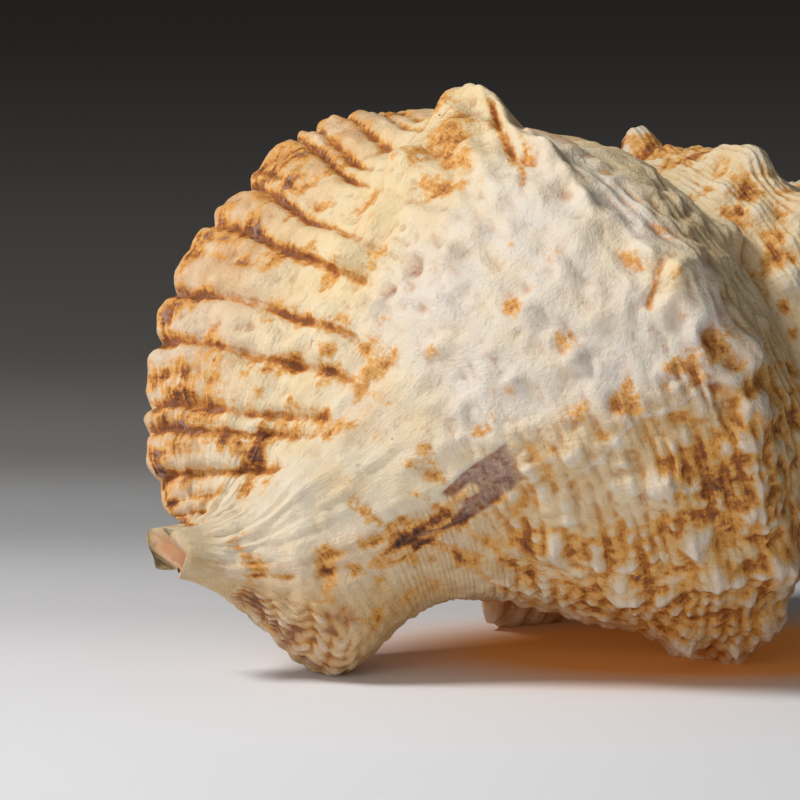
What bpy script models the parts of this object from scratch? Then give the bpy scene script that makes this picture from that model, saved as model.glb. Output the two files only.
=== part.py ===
"""A heavy right-handed murex shell with a flared, fluted lip, lying as it comes to rest.

The shell grew as one piece, so it is one solid. Its outer skin is swept along a growth spiral:
a side profile turns about the axis and shrinks towards the apex, each whorl leaning on the last.
The mouth is open, and its inner wall runs back into the last whorl as a hollow. The short canal
below the mouth is a slit tube, open at its end and into the mouth.
"""

import math

import bmesh
import bpy
import numpy as np
from mathutils import Matrix, Vector

# Lengths are in millimetres until the last step, which makes them metres
MM = 0.001

# Growth: the shell's size per turn, the apex's height over the shoulder ring, where the lip stands
GROWTH_PER_TURN = 1.40
APEX_HEIGHT = 117.0
LIP_AZIMUTH = 112.0
SPIRE_TURNS = 6

# Side profile at the lip, from the seam of the whorls down to the end of the canal:
# place along the profile, radius, height, share of the growth that this place takes part in
SEAM_PLACE = 0.42
PROFILE = (
    (0.08, 44.5, 9.0, 1.00),
    (0.16, 52.0, 2.0, 1.00),
    (0.24, 59.0, -7.5, 1.00),
    (0.34, 58.5, -20.0, 1.00),
    (0.42, 54.7, -30.0, 1.00),
    (0.53, 45.0, -43.0, 0.88),
    (0.61, 35.5, -51.0, 0.70),
    (0.68, 27.5, -57.5, 0.48),
    (0.75, 20.5, -64.0, 0.26),
    (0.83, 13.5, -72.0, 0.08),
    (0.90, 8.5, -79.5, 0.00),
    (0.95, 6.3, -86.5, 0.00),
    (1.00, 5.2, -94.0, 0.00),
)

# Edge of the flared lip at the same places, as radius and height, and where the flare begins
MOUTH_END_PLACE = 0.95
LIP_EDGE = (
    (0.04, 48.0, 17.5),
    (0.08, 54.5, 12.5),
    (0.16, 63.5, 1.5),
    (0.24, 69.5, -10.0),
    (0.34, 72.3, -22.5),
    (0.42, 71.5, -33.5),
    (0.53, 65.0, -49.5),
    (0.60, 57.0, -62.5),
    (0.66, 48.5, -73.0),
    (0.72, 39.0, -80.5),
    (0.78, 28.0, -86.0),
    (0.86, 14.5, -89.0),
)
FLARE_TURNS = ((0.00, 0.06), (0.24, 0.060), (0.42, 0.075), (0.60, 0.100), (0.80, 0.130), (0.95, 0.130))
LIP_GROOVES = (0.271, 0.343, 0.412, 0.443, 0.521, 0.545, 0.593, 0.662, 0.712, 0.769, 0.79, 0.838)
GROOVE_DEPTH = 1.3
GROOVE_SLANT = 0.36

# Walls of the mouth, and how far the hollow runs back. Further back than the lip the hollow ends
# above the canal, at a place on its outer wall and one on the whorl before.
WALL = 3.4
LIP_THICKNESS = 2.2
CALLUS = 1.2
MOUTH_DEPTH_TURNS = 1.30
HOLLOW_BEND_PLACE = 0.68
HOLLOW_END_OUTER = 0.775
HOLLOW_END_INNER = 0.805

# Canal: its bore, the slit that joins it to the mouth, and how much of its front edge is broken off
CANAL_BORE_END = 3.5
CANAL_BORE_TOP = 2.2
CANAL_BORE_TOP_HEIGHT = -80.0
CANAL_SLIT = 2.4
CANAL_SLIT_REACH = 7.5
CANAL_SLIT_TOP_HEIGHT = -84.0
CUTTER_REACH = 2.0
BORE_RINGS = 5
BORE_SIDES = 24
CANAL_BREAK = 5.5
CANAL_BREAK_AZIMUTH = 15.0
CANAL_BREAK_SPREAD = 55.0

# The canal's middle line is bent: how far it hangs towards the folds
CANAL_BEND = (
    (0.00, 0.0),
    (0.50, 0.0),
    (0.60, 0.0),
    (0.70, 2.2),
    (0.80, 5.7),
    (0.88, 7.2),
    (0.94, 6.2),
    (1.00, 3.9),
)

# Band of rough folds beside the canal
FOLD_AZIMUTH = -98.0
FOLD_SPREAD = 52.0
FOLD_HEIGHT = 14.0
FOLD_PLACE = 0.817
FOLD_LENGTH = 0.078
FOLD_SCALE_STEP = 0.042
FOLD_SCALE_HEIGHT = 1.3

# Swelling behind the lip, and the flange left where an earlier lip stood
VARIX_HEIGHT = 4.0
VARIX_WIDTH = 0.026
OLD_LIP_TURN = -0.690
OLD_LIP_SIZE = 1.32
OLD_LIP_RISE = 0.050
OLD_LIP_FALL = 0.020

# Knobs: turn, place, height, width
KNOBS = (
    (-0.052, 0.250, 6.5, 10.0),
    (-0.140, 0.290, 3.0, 6.0),
    (-0.175, 0.300, 2.6, 5.5),
    (-0.210, 0.290, 2.2, 5.5),
    (-0.260, 0.265, 5.5, 6.5),
    (-0.302, 0.215, 3.0, 4.5),
    (-0.350, 0.270, 2.5, 5.0),
    (-0.368, 0.410, 2.6, 5.0),
    (-0.396, 0.290, 3.0, 5.0),
    (-0.410, 0.390, 3.6, 4.5),
    (-0.420, 0.570, 2.4, 4.5),
    (-0.437, 0.355, 4.6, 5.0),
    (-0.442, 0.250, 4.4, 5.0),
    (-0.456, 0.490, 4.2, 5.5),
    (-0.500, 0.270, 4.6, 5.5),
    (-0.510, 0.400, 4.4, 5.5),
    (-0.535, 0.305, 5.4, 6.0),
    (-0.555, 0.200, 3.0, 5.0),
    (-0.560, 0.370, 4.0, 5.0),
    (-0.620, 0.270, 5.2, 6.0),
    (-0.640, 0.400, 3.0, 5.5),
    (-0.790, 0.270, 4.5, 6.5),
    (-0.860, 0.270, 4.0, 6.0),
    (-0.930, 0.265, 4.5, 6.0),
    (-1.000, 0.235, 12.0, 4.8),
    (-1.137, 0.238, 5.4, 5.2),
    (-1.215, 0.350, 3.0, 4.0),
)
SPIRE_KNOB_STEP = 0.13
SPIRE_KNOB_HEIGHT = 6.0
SPIRE_KNOB_WIDTH = 6.0

# How the shell lies: direction of its axis towards the apex, the middle of its shoulder ring,
# and the direction of azimuth 0, which faces the front
AXIS = Vector((0.91484, 0.32970, 0.23315))
FRONT = Vector((0.28816, -0.93751, 0.19503))
RING_MIDDLE = Vector((-4.85, -0.31, 48.87))
FOOT_BLOCK = (240.0, 160.0, 10.0)

COLUMNS_PER_TURN = 120
ROWS = 76
TRIANGLE_SHARE = 9000


def smooth(low, high, x):
    t = np.clip((np.asarray(x, float) - low) / (high - low), 0.0, 1.0)
    return t * t * (3.0 - 2.0 * t)


def eased(points, s):
    """Smooth curve through (place, value) points."""
    places = np.array([point[0] for point in points])
    values = np.array([point[1] for point in points])
    slopes = np.gradient(values, places)
    s = np.clip(np.asarray(s, float), places[0], places[-1])
    k = np.clip(np.searchsorted(places, s, side="right") - 1, 0, len(places) - 2)
    step = places[k + 1] - places[k]
    t = (s - places[k]) / step
    return (
        (1 + 2 * t) * (1 - t) ** 2 * values[k]
        + t * (1 - t) ** 2 * step * slopes[k]
        + t * t * (3 - 2 * t) * values[k + 1]
        + t * t * (t - 1) * step * slopes[k + 1]
    )


def seam_point():
    """Where a whorl starts: on the one before it, a turn back along the spiral."""
    row = [row for row in PROFILE if row[0] == SEAM_PLACE][0]
    return row[1] / GROWTH_PER_TURN, APEX_HEIGHT - (APEX_HEIGHT - row[2]) / GROWTH_PER_TURN


SEAM = seam_point()
MOUTH_END = [row for row in PROFILE if row[0] == MOUTH_END_PLACE][0]
SIDE = ((0.0, SEAM[0], SEAM[1], 1.0),) + PROFILE
EDGE = ((0.0, SEAM[0], SEAM[1]),) + LIP_EDGE + ((MOUTH_END_PLACE, MOUTH_END[1], MOUTH_END[2]),)
SIDE_RADIUS = [(row[0], row[1]) for row in SIDE]
SIDE_HEIGHT = [(row[0], row[2]) for row in SIDE]
SIDE_SHARE = [(row[0], row[3]) for row in SIDE]
EDGE_RADIUS = [(row[0], row[1]) for row in EDGE]
EDGE_HEIGHT = [(row[0], row[2]) for row in EDGE]


def bare_skin(turn, s, flared=1.0, bent=1.0):
    """Points of the smooth outer skin of the standing shell, axis up Z."""
    turn, s = np.broadcast_arrays(np.asarray(turn, float), np.asarray(s, float))
    scale = GROWTH_PER_TURN ** (turn * eased(SIDE_SHARE, s))
    side_r, side_z = eased(SIDE_RADIUS, s), eased(SIDE_HEIGHT, s)
    reach = eased(FLARE_TURNS, s)
    flare = np.clip((turn + reach) / reach, 0.0, 1.2) ** 1.5
    flare = np.where(s < MOUTH_END_PLACE, flare * flared, 0.0)
    radius = scale * side_r + flare * (eased(EDGE_RADIUS, s) - side_r)
    height = APEX_HEIGHT - scale * (APEX_HEIGHT - side_z) + flare * (eased(EDGE_HEIGHT, s) - side_z)
    before = np.clip(1.0 + (turn - OLD_LIP_TURN) / OLD_LIP_RISE, 0.0, 1.0) ** 1.5
    old = before * (1 - smooth(OLD_LIP_TURN, OLD_LIP_TURN + OLD_LIP_FALL, turn))
    old = OLD_LIP_SIZE * old * smooth(0.12, 0.26, s) * (1 - smooth(0.66, 0.80, s)) * GROWTH_PER_TURN**turn
    radius = radius + old * (eased(EDGE_RADIUS, s) - side_r)
    height = height + old * (eased(EDGE_HEIGHT, s) - side_z)
    around = (LIP_AZIMUTH + 360.0 * turn - FOLD_AZIMUTH + 180.0) % 360.0 - 180.0
    along = (s - FOLD_PLACE) / FOLD_LENGTH
    radius = radius + FOLD_HEIGHT * np.exp(-((around / FOLD_SPREAD) ** 2) - along**2)
    broken = (LIP_AZIMUTH + 360.0 * turn - CANAL_BREAK_AZIMUTH + 180.0) % 360.0 - 180.0
    broken = np.exp(-((broken / CANAL_BREAK_SPREAD) ** 4))
    height = height + CANAL_BREAK * broken * smooth(MOUTH_END_PLACE - 0.02, 1.0, s)
    angle = np.radians(LIP_AZIMUTH + 360.0 * turn)
    bend = bent * eased(CANAL_BEND, s)
    return np.stack([radius * np.cos(angle), bend - radius * np.sin(angle), height], -1)


def skin_normal(turn, s, flared=1.0, bent=1.0):
    step = 2e-4
    below, above = np.minimum(s + step, 1.0), np.maximum(s - step, 0.0)
    along = bare_skin(turn + step, s, flared, bent) - bare_skin(turn - step, s, flared, bent)
    down = bare_skin(turn, below, flared, bent) - bare_skin(turn, above, flared, bent)
    normal = np.cross(along, down)
    return normal / np.linalg.norm(normal, axis=-1, keepdims=True)


def knob_rows():
    knobs = list(KNOBS)
    turn = KNOBS[-1][0] - SPIRE_KNOB_STEP
    while turn > -SPIRE_TURNS - 1.0:
        size = GROWTH_PER_TURN ** (turn + 1.0)
        knobs.append((turn, 0.24, SPIRE_KNOB_HEIGHT * size, SPIRE_KNOB_WIDTH * size))
        turn -= SPIRE_KNOB_STEP
    return knobs


def relief(turn, s):
    """How far the skin stands out: swellings, ribs and grooves of the lip, and folds."""
    rib_place = s - GROOVE_SLANT * turn * smooth(0.60, 0.75, s)
    varix_turn = -eased(FLARE_TURNS, s)
    fan = smooth(varix_turn - 0.10, varix_turn, turn)
    grooves = np.zeros_like(s)
    for groove in LIP_GROOVES:
        grooves = grooves + np.exp(-(((rib_place - groove) / 0.0085) ** 2))
    last_turn = np.where(turn > -0.5, 1.0, 0.0)
    middle = smooth(0.16, 0.30, s) * (1 - smooth(0.86, 0.92, s))
    height = -GROOVE_DEPTH * grooves * fan * middle * last_turn
    scale = (turn / FOLD_SCALE_STEP) % 1.0
    scale = scale * (1 - smooth(0.80, 1.0, scale))
    folded = smooth(-0.64, -0.58, turn) * (1 - smooth(-0.42, -0.34, turn))
    folded = folded * smooth(0.74, 0.80, s) * (1 - smooth(0.90, 0.95, s))
    height = height + FOLD_SCALE_HEIGHT * scale * folded
    lumps = 0.55 + 0.45 * np.cos(2 * math.pi * (s - 0.36) / 0.105)
    varix = np.exp(-(((turn - varix_turn) / VARIX_WIDTH) ** 2))
    return height + VARIX_HEIGHT * lumps * varix * smooth(0.20, 0.32, s) * (1 - smooth(0.66, 0.80, s))


def shaped_skin(turn, s):
    """Points of the outer skin with its relief and knobs."""
    turn, s = np.broadcast_arrays(np.asarray(turn, float), np.asarray(s, float))
    bare = bare_skin(turn, s)
    normal = skin_normal(turn, s)
    free = np.where(turn < -1.0, smooth(SEAM_PLACE, SEAM_PLACE - 0.05, s), 1.0)
    points = bare + normal * (relief(turn, s) * free)[..., None]
    for knob_turn, knob_place, height, width in knob_rows():
        knob_turn, knob_place = np.array([knob_turn]), np.array([knob_place])
        middle = bare_skin(knob_turn, knob_place)[0]
        out = skin_normal(knob_turn, knob_place)[0]
        off = np.linalg.norm(bare - middle, axis=-1) / width
        near = np.exp(-(off**2.4)) * (np.abs(turn - knob_turn) < 0.3)
        points = points + out * (height * near)[..., None]
    return points


def grown_back(points, turns):
    """The same points at an earlier size: turned back about the axis and shrunk to the apex."""
    scale = GROWTH_PER_TURN**-turns
    angle = 2 * math.pi * turns
    x, y, z = points[..., 0], points[..., 1], points[..., 2]
    return np.stack(
        [
            scale * (x * math.cos(angle) - y * math.sin(angle)),
            scale * (x * math.sin(angle) + y * math.cos(angle)),
            APEX_HEIGHT - scale * (APEX_HEIGHT - z),
        ],
        -1,
    )


def row_places():
    """Places of the rows, with one on the seam and one where the mouth ends."""
    seam_row = round(ROWS * SEAM_PLACE)
    mouth_row = round(ROWS * MOUTH_END_PLACE)
    upper = np.linspace(0.0, SEAM_PLACE, seam_row + 1)
    middle = np.linspace(SEAM_PLACE, MOUTH_END_PLACE, mouth_row - seam_row + 1)
    lower = np.linspace(MOUTH_END_PLACE, 1.0, ROWS - mouth_row + 1)
    return np.concatenate([upper, middle[1:], lower[1:]]), seam_row, mouth_row


PLACES, SEAM_ROW, MOUTH_ROW = row_places()


def drawn_in(depth, s, end):
    """Places moved up along the profile, as the hollow ends above the canal further back."""
    end = MOUTH_END_PLACE + (end - MOUTH_END_PLACE) * smooth(0.0, 0.10, depth)
    moved = HOLLOW_BEND_PLACE + (s - HOLLOW_BEND_PLACE) * (end - HOLLOW_BEND_PLACE) / (
        MOUTH_END_PLACE - HOLLOW_BEND_PLACE
    )
    return np.where(s > HOLLOW_BEND_PLACE, moved, s)


def hollow_bend(depth, s):
    """The canal's bend, which the hollow follows less and less as it runs back."""
    bend = eased(CANAL_BEND, s) * (1 - smooth(0.15, 0.45, depth))
    return np.stack([0 * bend, bend, 0 * bend], -1)


def mouth_wall(depth, s):
    """Inner side of the last whorl's wall, a share of a turn behind the lip."""
    rows = s
    s = drawn_in(depth, s, HOLLOW_END_OUTER)
    taper = smooth(0.0, 0.05, s) * (1 - smooth(0.84, MOUTH_END_PLACE, s))
    wall = LIP_THICKNESS + (WALL - LIP_THICKNESS) * smooth(0.0, 0.1, depth)
    here = bare_skin(-depth, s) - skin_normal(-depth, s) * (wall * taper)[..., None]
    plain = bare_skin(0.0, s, 0.0, 0.0) - skin_normal(0.0, s, 0.0, 0.0) * (WALL * taper)[..., None]
    swept = grown_back(plain, depth) + hollow_bend(depth, s)
    low = smooth(0.62, 0.88, s) * smooth(0.0, 0.12, depth)
    low = np.maximum(low, smooth(0.14, 0.24, depth))[..., None]
    wall_points = here * (1 - low) + swept * low
    if depth > 0:
        corner = inner_lip(depth, np.array([SEAM_PLACE]))
        near_seam = smooth(0.0, 0.07, rows)[..., None]
        wall_points = corner * (1 - near_seam) + wall_points * near_seam
        end = inner_lip(depth, np.array([MOUTH_END_PLACE]))
        near_end = smooth(0.86, MOUTH_END_PLACE, rows)[..., None]
        wall_points = wall_points * (1 - near_end) + end * near_end
    return wall_points


def inner_lip(depth, s):
    """The whorl before, seen inside the mouth, under a thin glaze of callus."""
    lift = 0.035 * smooth(0.0, 0.04, depth)
    share = (MOUTH_END_PLACE - s) / (MOUTH_END_PLACE - SEAM_PLACE)
    s = MOUTH_END_PLACE - share * (MOUTH_END_PLACE - SEAM_PLACE - lift)
    s = drawn_in(depth, s, HOLLOW_END_INNER)
    taper = smooth(SEAM_PLACE, SEAM_PLACE + 0.05, s) * (1 - smooth(0.85, MOUTH_END_PLACE, s))
    callus = CALLUS * taper * smooth(0.0, 0.006, depth)
    body = bare_skin(-1.0, s, 1.0, 0.0) + skin_normal(-1.0, s, 1.0, 0.0) * callus[..., None]
    return grown_back(body, depth) + hollow_bend(depth, s)


def build_skin(mesh):
    """Outer skin: the last whorl down to the canal, and the bare part of each whorl before."""
    columns = COLUMNS_PER_TURN
    made = {}

    def key(whorl, column, row):
        if whorl > 0 and row == SEAM_ROW:
            return key(whorl - 1, column, 0)
        if whorl > 0 and column == columns:
            return key(whorl - 1, 0, row)
        if whorl == 0 and column == columns and row == 0:
            return 0, 0, SEAM_ROW
        if whorl == 0 and column == columns and row >= MOUTH_ROW:
            return 0, 0, row
        return whorl, column, row

    for whorl in range(SPIRE_TURNS + 1):
        rows = ROWS if whorl == 0 else SEAM_ROW
        turns = -whorl - 1 + np.arange(columns + 1)[:, None] / columns
        points = shaped_skin(turns, PLACES[None, : rows + 1])
        for column in range(columns + 1):
            for row in range(rows + 1):
                name = key(whorl, column, row)
                if name == (whorl, column, row):
                    made[name] = mesh.verts.new(points[column, row])
    for whorl in range(SPIRE_TURNS + 1):
        rows = ROWS if whorl == 0 else SEAM_ROW
        for column in range(columns):
            for row in range(rows):
                corners = ((column, row), (column + 1, row), (column + 1, row + 1), (column, row + 1))
                mesh.faces.new([made[key(whorl, *corner)] for corner in corners])
    tip = SPIRE_TURNS
    rim = [made[key(tip, column, 0)] for column in range(columns + 1)]
    rim += [made[key(tip, 0, row)] for row in range(SEAM_ROW - 1, 0, -1)]
    middle = sum((vert.co for vert in rim), Vector()) / len(rim)
    close_ring(mesh, rim, Vector((0.0, 0.0, middle.z + 1.5)))
    mouth = [made[key(0, columns, row)] for row in range(MOUTH_ROW + 1)]
    mouth += [made[key(0, 0, row)] for row in range(MOUTH_ROW - 1, SEAM_ROW, -1)]
    canal = [made[key(0, column, ROWS)] for column in range(columns)]
    return mouth, canal


def bridge(mesh, ring, points):
    """New ring of vertices at the points, joined to the ring before it."""
    new = [mesh.verts.new(point) for point in points]
    count = len(ring)
    for i in range(count):
        j = (i + 1) % count
        mesh.faces.new((ring[i], ring[j], new[j], new[i]))
    return new


def close_ring(mesh, ring, point):
    middle = mesh.verts.new(point)
    count = len(ring)
    for i in range(count):
        mesh.faces.new((ring[i], ring[(i + 1) % count], middle))


def build_mouth(mesh, ring):
    """Rim of the lip, then the hollow's wall, ring by ring back into the last whorl."""
    lip_places = PLACES[: MOUTH_ROW + 1]
    body_places = PLACES[SEAM_ROW + 1 : MOUTH_ROW][::-1]
    edge = np.array([vert.co for vert in ring[: MOUTH_ROW + 1]])
    inner = mouth_wall(0.0, lip_places)
    forward = bare_skin(0.0, lip_places) - bare_skin(-0.004, lip_places)
    forward = forward / np.linalg.norm(forward, axis=-1, keepdims=True)
    thickness = np.linalg.norm(inner - edge, axis=-1, keepdims=True)
    rounded = (edge + inner) / 2 + forward * thickness * 0.45
    rounded[0] = inner_lip(0.002, np.array([SEAM_PLACE]))[0]
    rounded[-1] = inner_lip(0.002, np.array([MOUTH_END_PLACE]))[0]
    ring = bridge(mesh, ring, np.vstack([rounded, inner_lip(0.003, body_places)]))
    depths = np.concatenate([[0.006, 0.02, 0.04], np.linspace(0.065, MOUTH_DEPTH_TURNS, 36)])
    for depth in depths:
        points = np.vstack([mouth_wall(depth, lip_places), inner_lip(depth, body_places)])
        ring = bridge(mesh, ring, points)
    middle = sum((vert.co for vert in ring), Vector()) / len(ring)
    close_ring(mesh, ring, middle)


def resting_matrix():
    """Turn the standing shell so that it lies, and make its lengths metres."""
    axis = AXIS.normalized()
    front = (FRONT - axis * FRONT.dot(axis)).normalized()
    side = axis.cross(front)
    turn = Matrix((front, side, axis)).transposed().to_4x4()
    return Matrix.Scale(MM, 4) @ Matrix.Translation(RING_MIDDLE) @ turn


def clear_scene():
    for thing in list(bpy.data.objects):
        bpy.data.objects.remove(thing, do_unlink=True)


def shell_material():
    material = bpy.data.materials.new("shell")
    material.use_nodes = True
    shader = material.node_tree.nodes["Principled BSDF"]
    shader.inputs["Base Color"].default_value = (0.72, 0.58, 0.42, 1.0)
    shader.inputs["Roughness"].default_value = 0.55
    shader.inputs["Metallic"].default_value = 0.0
    return material


def new_object(name, mesh, placed):
    bmesh.ops.transform(mesh, matrix=placed, verts=mesh.verts)
    bmesh.ops.recalc_face_normals(mesh, faces=mesh.faces)
    data = bpy.data.meshes.new(name)
    mesh.to_mesh(data)
    mesh.free()
    thing = bpy.data.objects.new(name, data)
    bpy.context.scene.collection.objects.link(thing)
    return thing


def canal_middle(height):
    """Middle of the bent canal at a height."""
    heights, bends = [], []
    for place, _, place_height, _ in PROFILE:
        heights.append(place_height)
        bends.append(float(eased(CANAL_BEND, place)))
    return Vector((0.0, float(np.interp(height, heights[::-1], bends[::-1])), height))


def bore_cutter():
    """The canal's bore, from beyond its end up to where it meets the mouth."""
    mesh = bmesh.new()
    low_end = PROFILE[-1][2] - CUTTER_REACH
    rings = []
    for share in np.linspace(0.0, 1.0, BORE_RINGS):
        middle = canal_middle(low_end + (CANAL_BORE_TOP_HEIGHT - low_end) * float(share))
        radius = CANAL_BORE_END + (CANAL_BORE_TOP - CANAL_BORE_END) * share
        angles = np.linspace(0.0, 2 * math.pi, BORE_SIDES, endpoint=False)
        rings.append(
            [
                mesh.verts.new(middle + Vector((radius * math.cos(angle), radius * math.sin(angle), 0.0)))
                for angle in angles
            ]
        )
    for low, high in zip(rings, rings[1:]):
        for i in range(BORE_SIDES):
            j = (i + 1) % BORE_SIDES
            mesh.faces.new((low[i], low[j], high[j], high[i]))
    mesh.faces.new(rings[0])
    mesh.faces.new(rings[-1])
    return new_object("canal bore", mesh, resting_matrix())


def slit_cutter():
    """Slit along the canal on the mouth's side."""
    mesh = bmesh.new()
    bmesh.ops.create_cube(mesh, size=1.0)
    low_end = PROFILE[-1][2] - CUTTER_REACH
    length = CANAL_SLIT_TOP_HEIGHT - low_end
    for vert in mesh.verts:
        vert.co.x = (vert.co.x + 0.5) * CANAL_SLIT_REACH
        vert.co.y = vert.co.y * CANAL_SLIT
        vert.co.z = low_end + (vert.co.z + 0.5) * length
    bend = canal_middle(MOUTH_END[2]).y
    turned = Matrix.Translation((0.0, bend, 0.0)) @ Matrix.Rotation(-math.radians(LIP_AZIMUTH), 4, "Z")
    return new_object("canal slit", mesh, resting_matrix() @ turned)


def foot_cutter():
    """Everything under the surface the shell lies on: its lowest points are worn flat."""
    mesh = bmesh.new()
    bmesh.ops.create_cube(mesh, size=1.0)
    under = Matrix.Translation((0.0, 0.0, -FOOT_BLOCK[2] / 2))
    block = Matrix.Diagonal((*FOOT_BLOCK, 1.0))
    return new_object("foot wear", mesh, Matrix.Scale(MM, 4) @ under @ block)


def build_shell():
    mesh = bmesh.new()
    mouth, canal = build_skin(mesh)
    build_mouth(mesh, mouth)
    close_ring(mesh, canal, sum((vert.co for vert in canal), Vector()) / len(canal))
    shell = new_object("shell", mesh, resting_matrix())
    shell.data.materials.append(shell_material())
    shell.data.shade_smooth()
    thin = shell.modifiers.new("fewer faces", "DECIMATE")
    thin.ratio = TRIANGLE_SHARE / sum(len(face.vertices) - 2 for face in shell.data.polygons)
    for cutter in (bore_cutter(), slit_cutter(), foot_cutter()):
        cut = shell.modifiers.new(cutter.name, "BOOLEAN")
        cut.operation = "DIFFERENCE"
        cut.solver = "EXACT"
        cut.object = cutter
        cutter.hide_render = True
        cutter.display_type = "WIRE"
    return shell


clear_scene()
build_shell()
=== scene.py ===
"""A heavy right-handed murex shell, seen from its back as it lies on a pale surface.

The shell is one piece. Its skin follows a growth spiral: a side profile turns about the axis and
shrinks towards the apex, each whorl leaning on the last. A place on the skin is given by its turn,
0 at the lip and -1 a whorl earlier, and by its place along the profile, 0 at the seam of the
whorls and 1 at the end of the canal.
"""

import math
from functools import partial

import bpy
import numpy as np
from mathutils import Matrix, Vector


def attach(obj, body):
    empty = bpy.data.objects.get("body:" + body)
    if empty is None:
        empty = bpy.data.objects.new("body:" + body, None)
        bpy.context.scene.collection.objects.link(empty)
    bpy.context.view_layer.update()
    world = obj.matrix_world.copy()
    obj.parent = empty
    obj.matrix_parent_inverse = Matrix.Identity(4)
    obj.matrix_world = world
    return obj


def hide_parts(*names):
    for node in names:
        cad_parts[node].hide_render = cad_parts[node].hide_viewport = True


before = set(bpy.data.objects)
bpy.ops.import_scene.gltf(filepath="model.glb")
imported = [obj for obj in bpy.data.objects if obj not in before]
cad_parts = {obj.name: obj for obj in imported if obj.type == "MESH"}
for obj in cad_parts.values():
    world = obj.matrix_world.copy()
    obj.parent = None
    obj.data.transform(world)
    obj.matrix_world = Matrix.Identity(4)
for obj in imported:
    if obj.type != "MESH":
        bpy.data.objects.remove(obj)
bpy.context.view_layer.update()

# Growth form of the shell: lime laid down at the lip by the animal as it turned about the axis,
# so that every whorl is a larger copy of the one before. Lengths are in millimetres up to the
# matrix that lays the shell down, which makes them metres.
MM = 0.001
GROWTH_PER_TURN = 1.40
APEX_HEIGHT = 117.0
LIP_AZIMUTH = 112.0
SEAM_PLACE = 0.42
# Side of a whorl: place, radius, height, share of it that grows with the whorl
PROFILE = (
    (0.08, 44.5, 9.0, 1.00),
    (0.16, 52.0, 2.0, 1.00),
    (0.24, 59.0, -7.5, 1.00),
    (0.34, 58.5, -20.0, 1.00),
    (0.42, 54.7, -30.0, 1.00),
    (0.53, 45.0, -43.0, 0.88),
    (0.61, 35.5, -51.0, 0.70),
    (0.68, 27.5, -57.5, 0.48),
    (0.75, 20.5, -64.0, 0.26),
    (0.83, 13.5, -72.0, 0.08),
    (0.90, 8.5, -79.5, 0.00),
    (0.95, 6.3, -86.5, 0.00),
    (1.00, 5.2, -94.0, 0.00),
)
MOUTH_END_PLACE = 0.95
# Edge of the flared lip: place, radius, height
LIP_EDGE = (
    (0.04, 48.0, 17.5),
    (0.08, 54.5, 12.5),
    (0.16, 62.2, 1.5),
    (0.24, 67.8, -10.0),
    (0.34, 71.6, -22.5),
    (0.42, 71.5, -33.5),
    (0.53, 65.0, -49.5),
    (0.60, 57.0, -62.5),
    (0.66, 48.5, -73.0),
    (0.72, 39.0, -80.5),
    (0.78, 28.0, -86.0),
    (0.86, 14.5, -89.0),
)
FLARE_CURVE = 1.5
FLARE_LIMIT = 1.2
# Part of a turn over which the lip flares: place, turns
FLARE_TURNS = ((0.00, 0.06), (0.24, 0.06), (0.42, 0.075), (0.60, 0.10), (0.80, 0.13), (0.95, 0.13))
CANAL_BREAK_START = 0.905
# What has broken off the canal's end: angle from the front in degrees, height
CANAL_BREAK = (
    (-180.0, 0.6),
    (-150.0, 1.2),
    (-134.0, 5.4),
    (-108.0, 6.4),
    (-92.0, 3.4),
    (-82.0, 2.4),
    (-72.0, 2.6),
    (-58.0, 4.4),
    (-20.0, 4.8),
    (30.0, 4.6),
    (55.0, 3.6),
    (72.0, 1.6),
    (92.0, 0.7),
    (130.0, 0.0),
    (180.0, 0.6),
)
# How far the canal bends aside: place, distance
CANAL_BEND = (
    (0.00, 0.0),
    (0.50, 0.0),
    (0.60, 0.0),
    (0.70, 2.2),
    (0.80, 5.7),
    (0.88, 7.2),
    (0.94, 6.2),
    (1.00, 3.9),
)
# Folds beside the canal, and the edge of an earlier lip
FOLD_AZIMUTH = -98.0
FOLD_SPREAD = 52.0
FOLD_HEIGHT = 14.0
FOLD_PLACE = 0.817
FOLD_LENGTH = 0.078
OLD_LIP_TURN = -0.690
OLD_LIP_SIZE = 1.32
OLD_LIP_RISE = 0.050
OLD_LIP_FALL = 0.020
OLD_LIP_PLACES = (0.12, 0.26, 0.52, 0.64)
NORMAL_STEP = 2e-4
# How the shell lies: its axis, the side that faces front, and the middle of its ring of knobs
AXIS = Vector((0.91484, 0.32970, 0.23315))
FRONT = Vector((0.28816, -0.93751, 0.19503))
RING_MIDDLE = Vector((-4.85, -0.31, 48.87))


def smooth(low, high, x):
    """Share that rises from 0 at low to 1 at high, eased at both ends."""
    t = np.clip((np.asarray(x, float) - low) / (high - low), 0.0, 1.0)
    return t * t * (3.0 - 2.0 * t)


def between(x, start, full, fading, end):
    """Share that rises from start to full and falls again from fading to end."""
    return smooth(start, full, x) * (1 - smooth(fading, end, x))


def bell(x):
    """Bell-shaped share: 1 in the middle, a third at 1, next to nothing past 2."""
    return np.exp(-(x**2))


def eased(points, s):
    """Smooth curve through (place, value) points."""
    places = np.array([point[0] for point in points])
    values = np.array([point[1] for point in points])
    slopes = np.gradient(values, places)
    s = np.clip(np.asarray(s, float), places[0], places[-1])
    k = np.clip(np.searchsorted(places, s, side="right") - 1, 0, len(places) - 2)
    step = places[k + 1] - places[k]
    t = (s - places[k]) / step
    return (
        (1 + 2 * t) * (1 - t) ** 2 * values[k]
        + t * (1 - t) ** 2 * step * slopes[k]
        + t * t * (3 - 2 * t) * values[k + 1]
        + t * t * (t - 1) * step * slopes[k + 1]
    )


def seam_point():
    """Where a whorl starts: on the one before it, a turn back along the spiral."""
    row = [row for row in PROFILE if row[0] == SEAM_PLACE][0]
    return row[1] / GROWTH_PER_TURN, APEX_HEIGHT - (APEX_HEIGHT - row[2]) / GROWTH_PER_TURN


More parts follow.
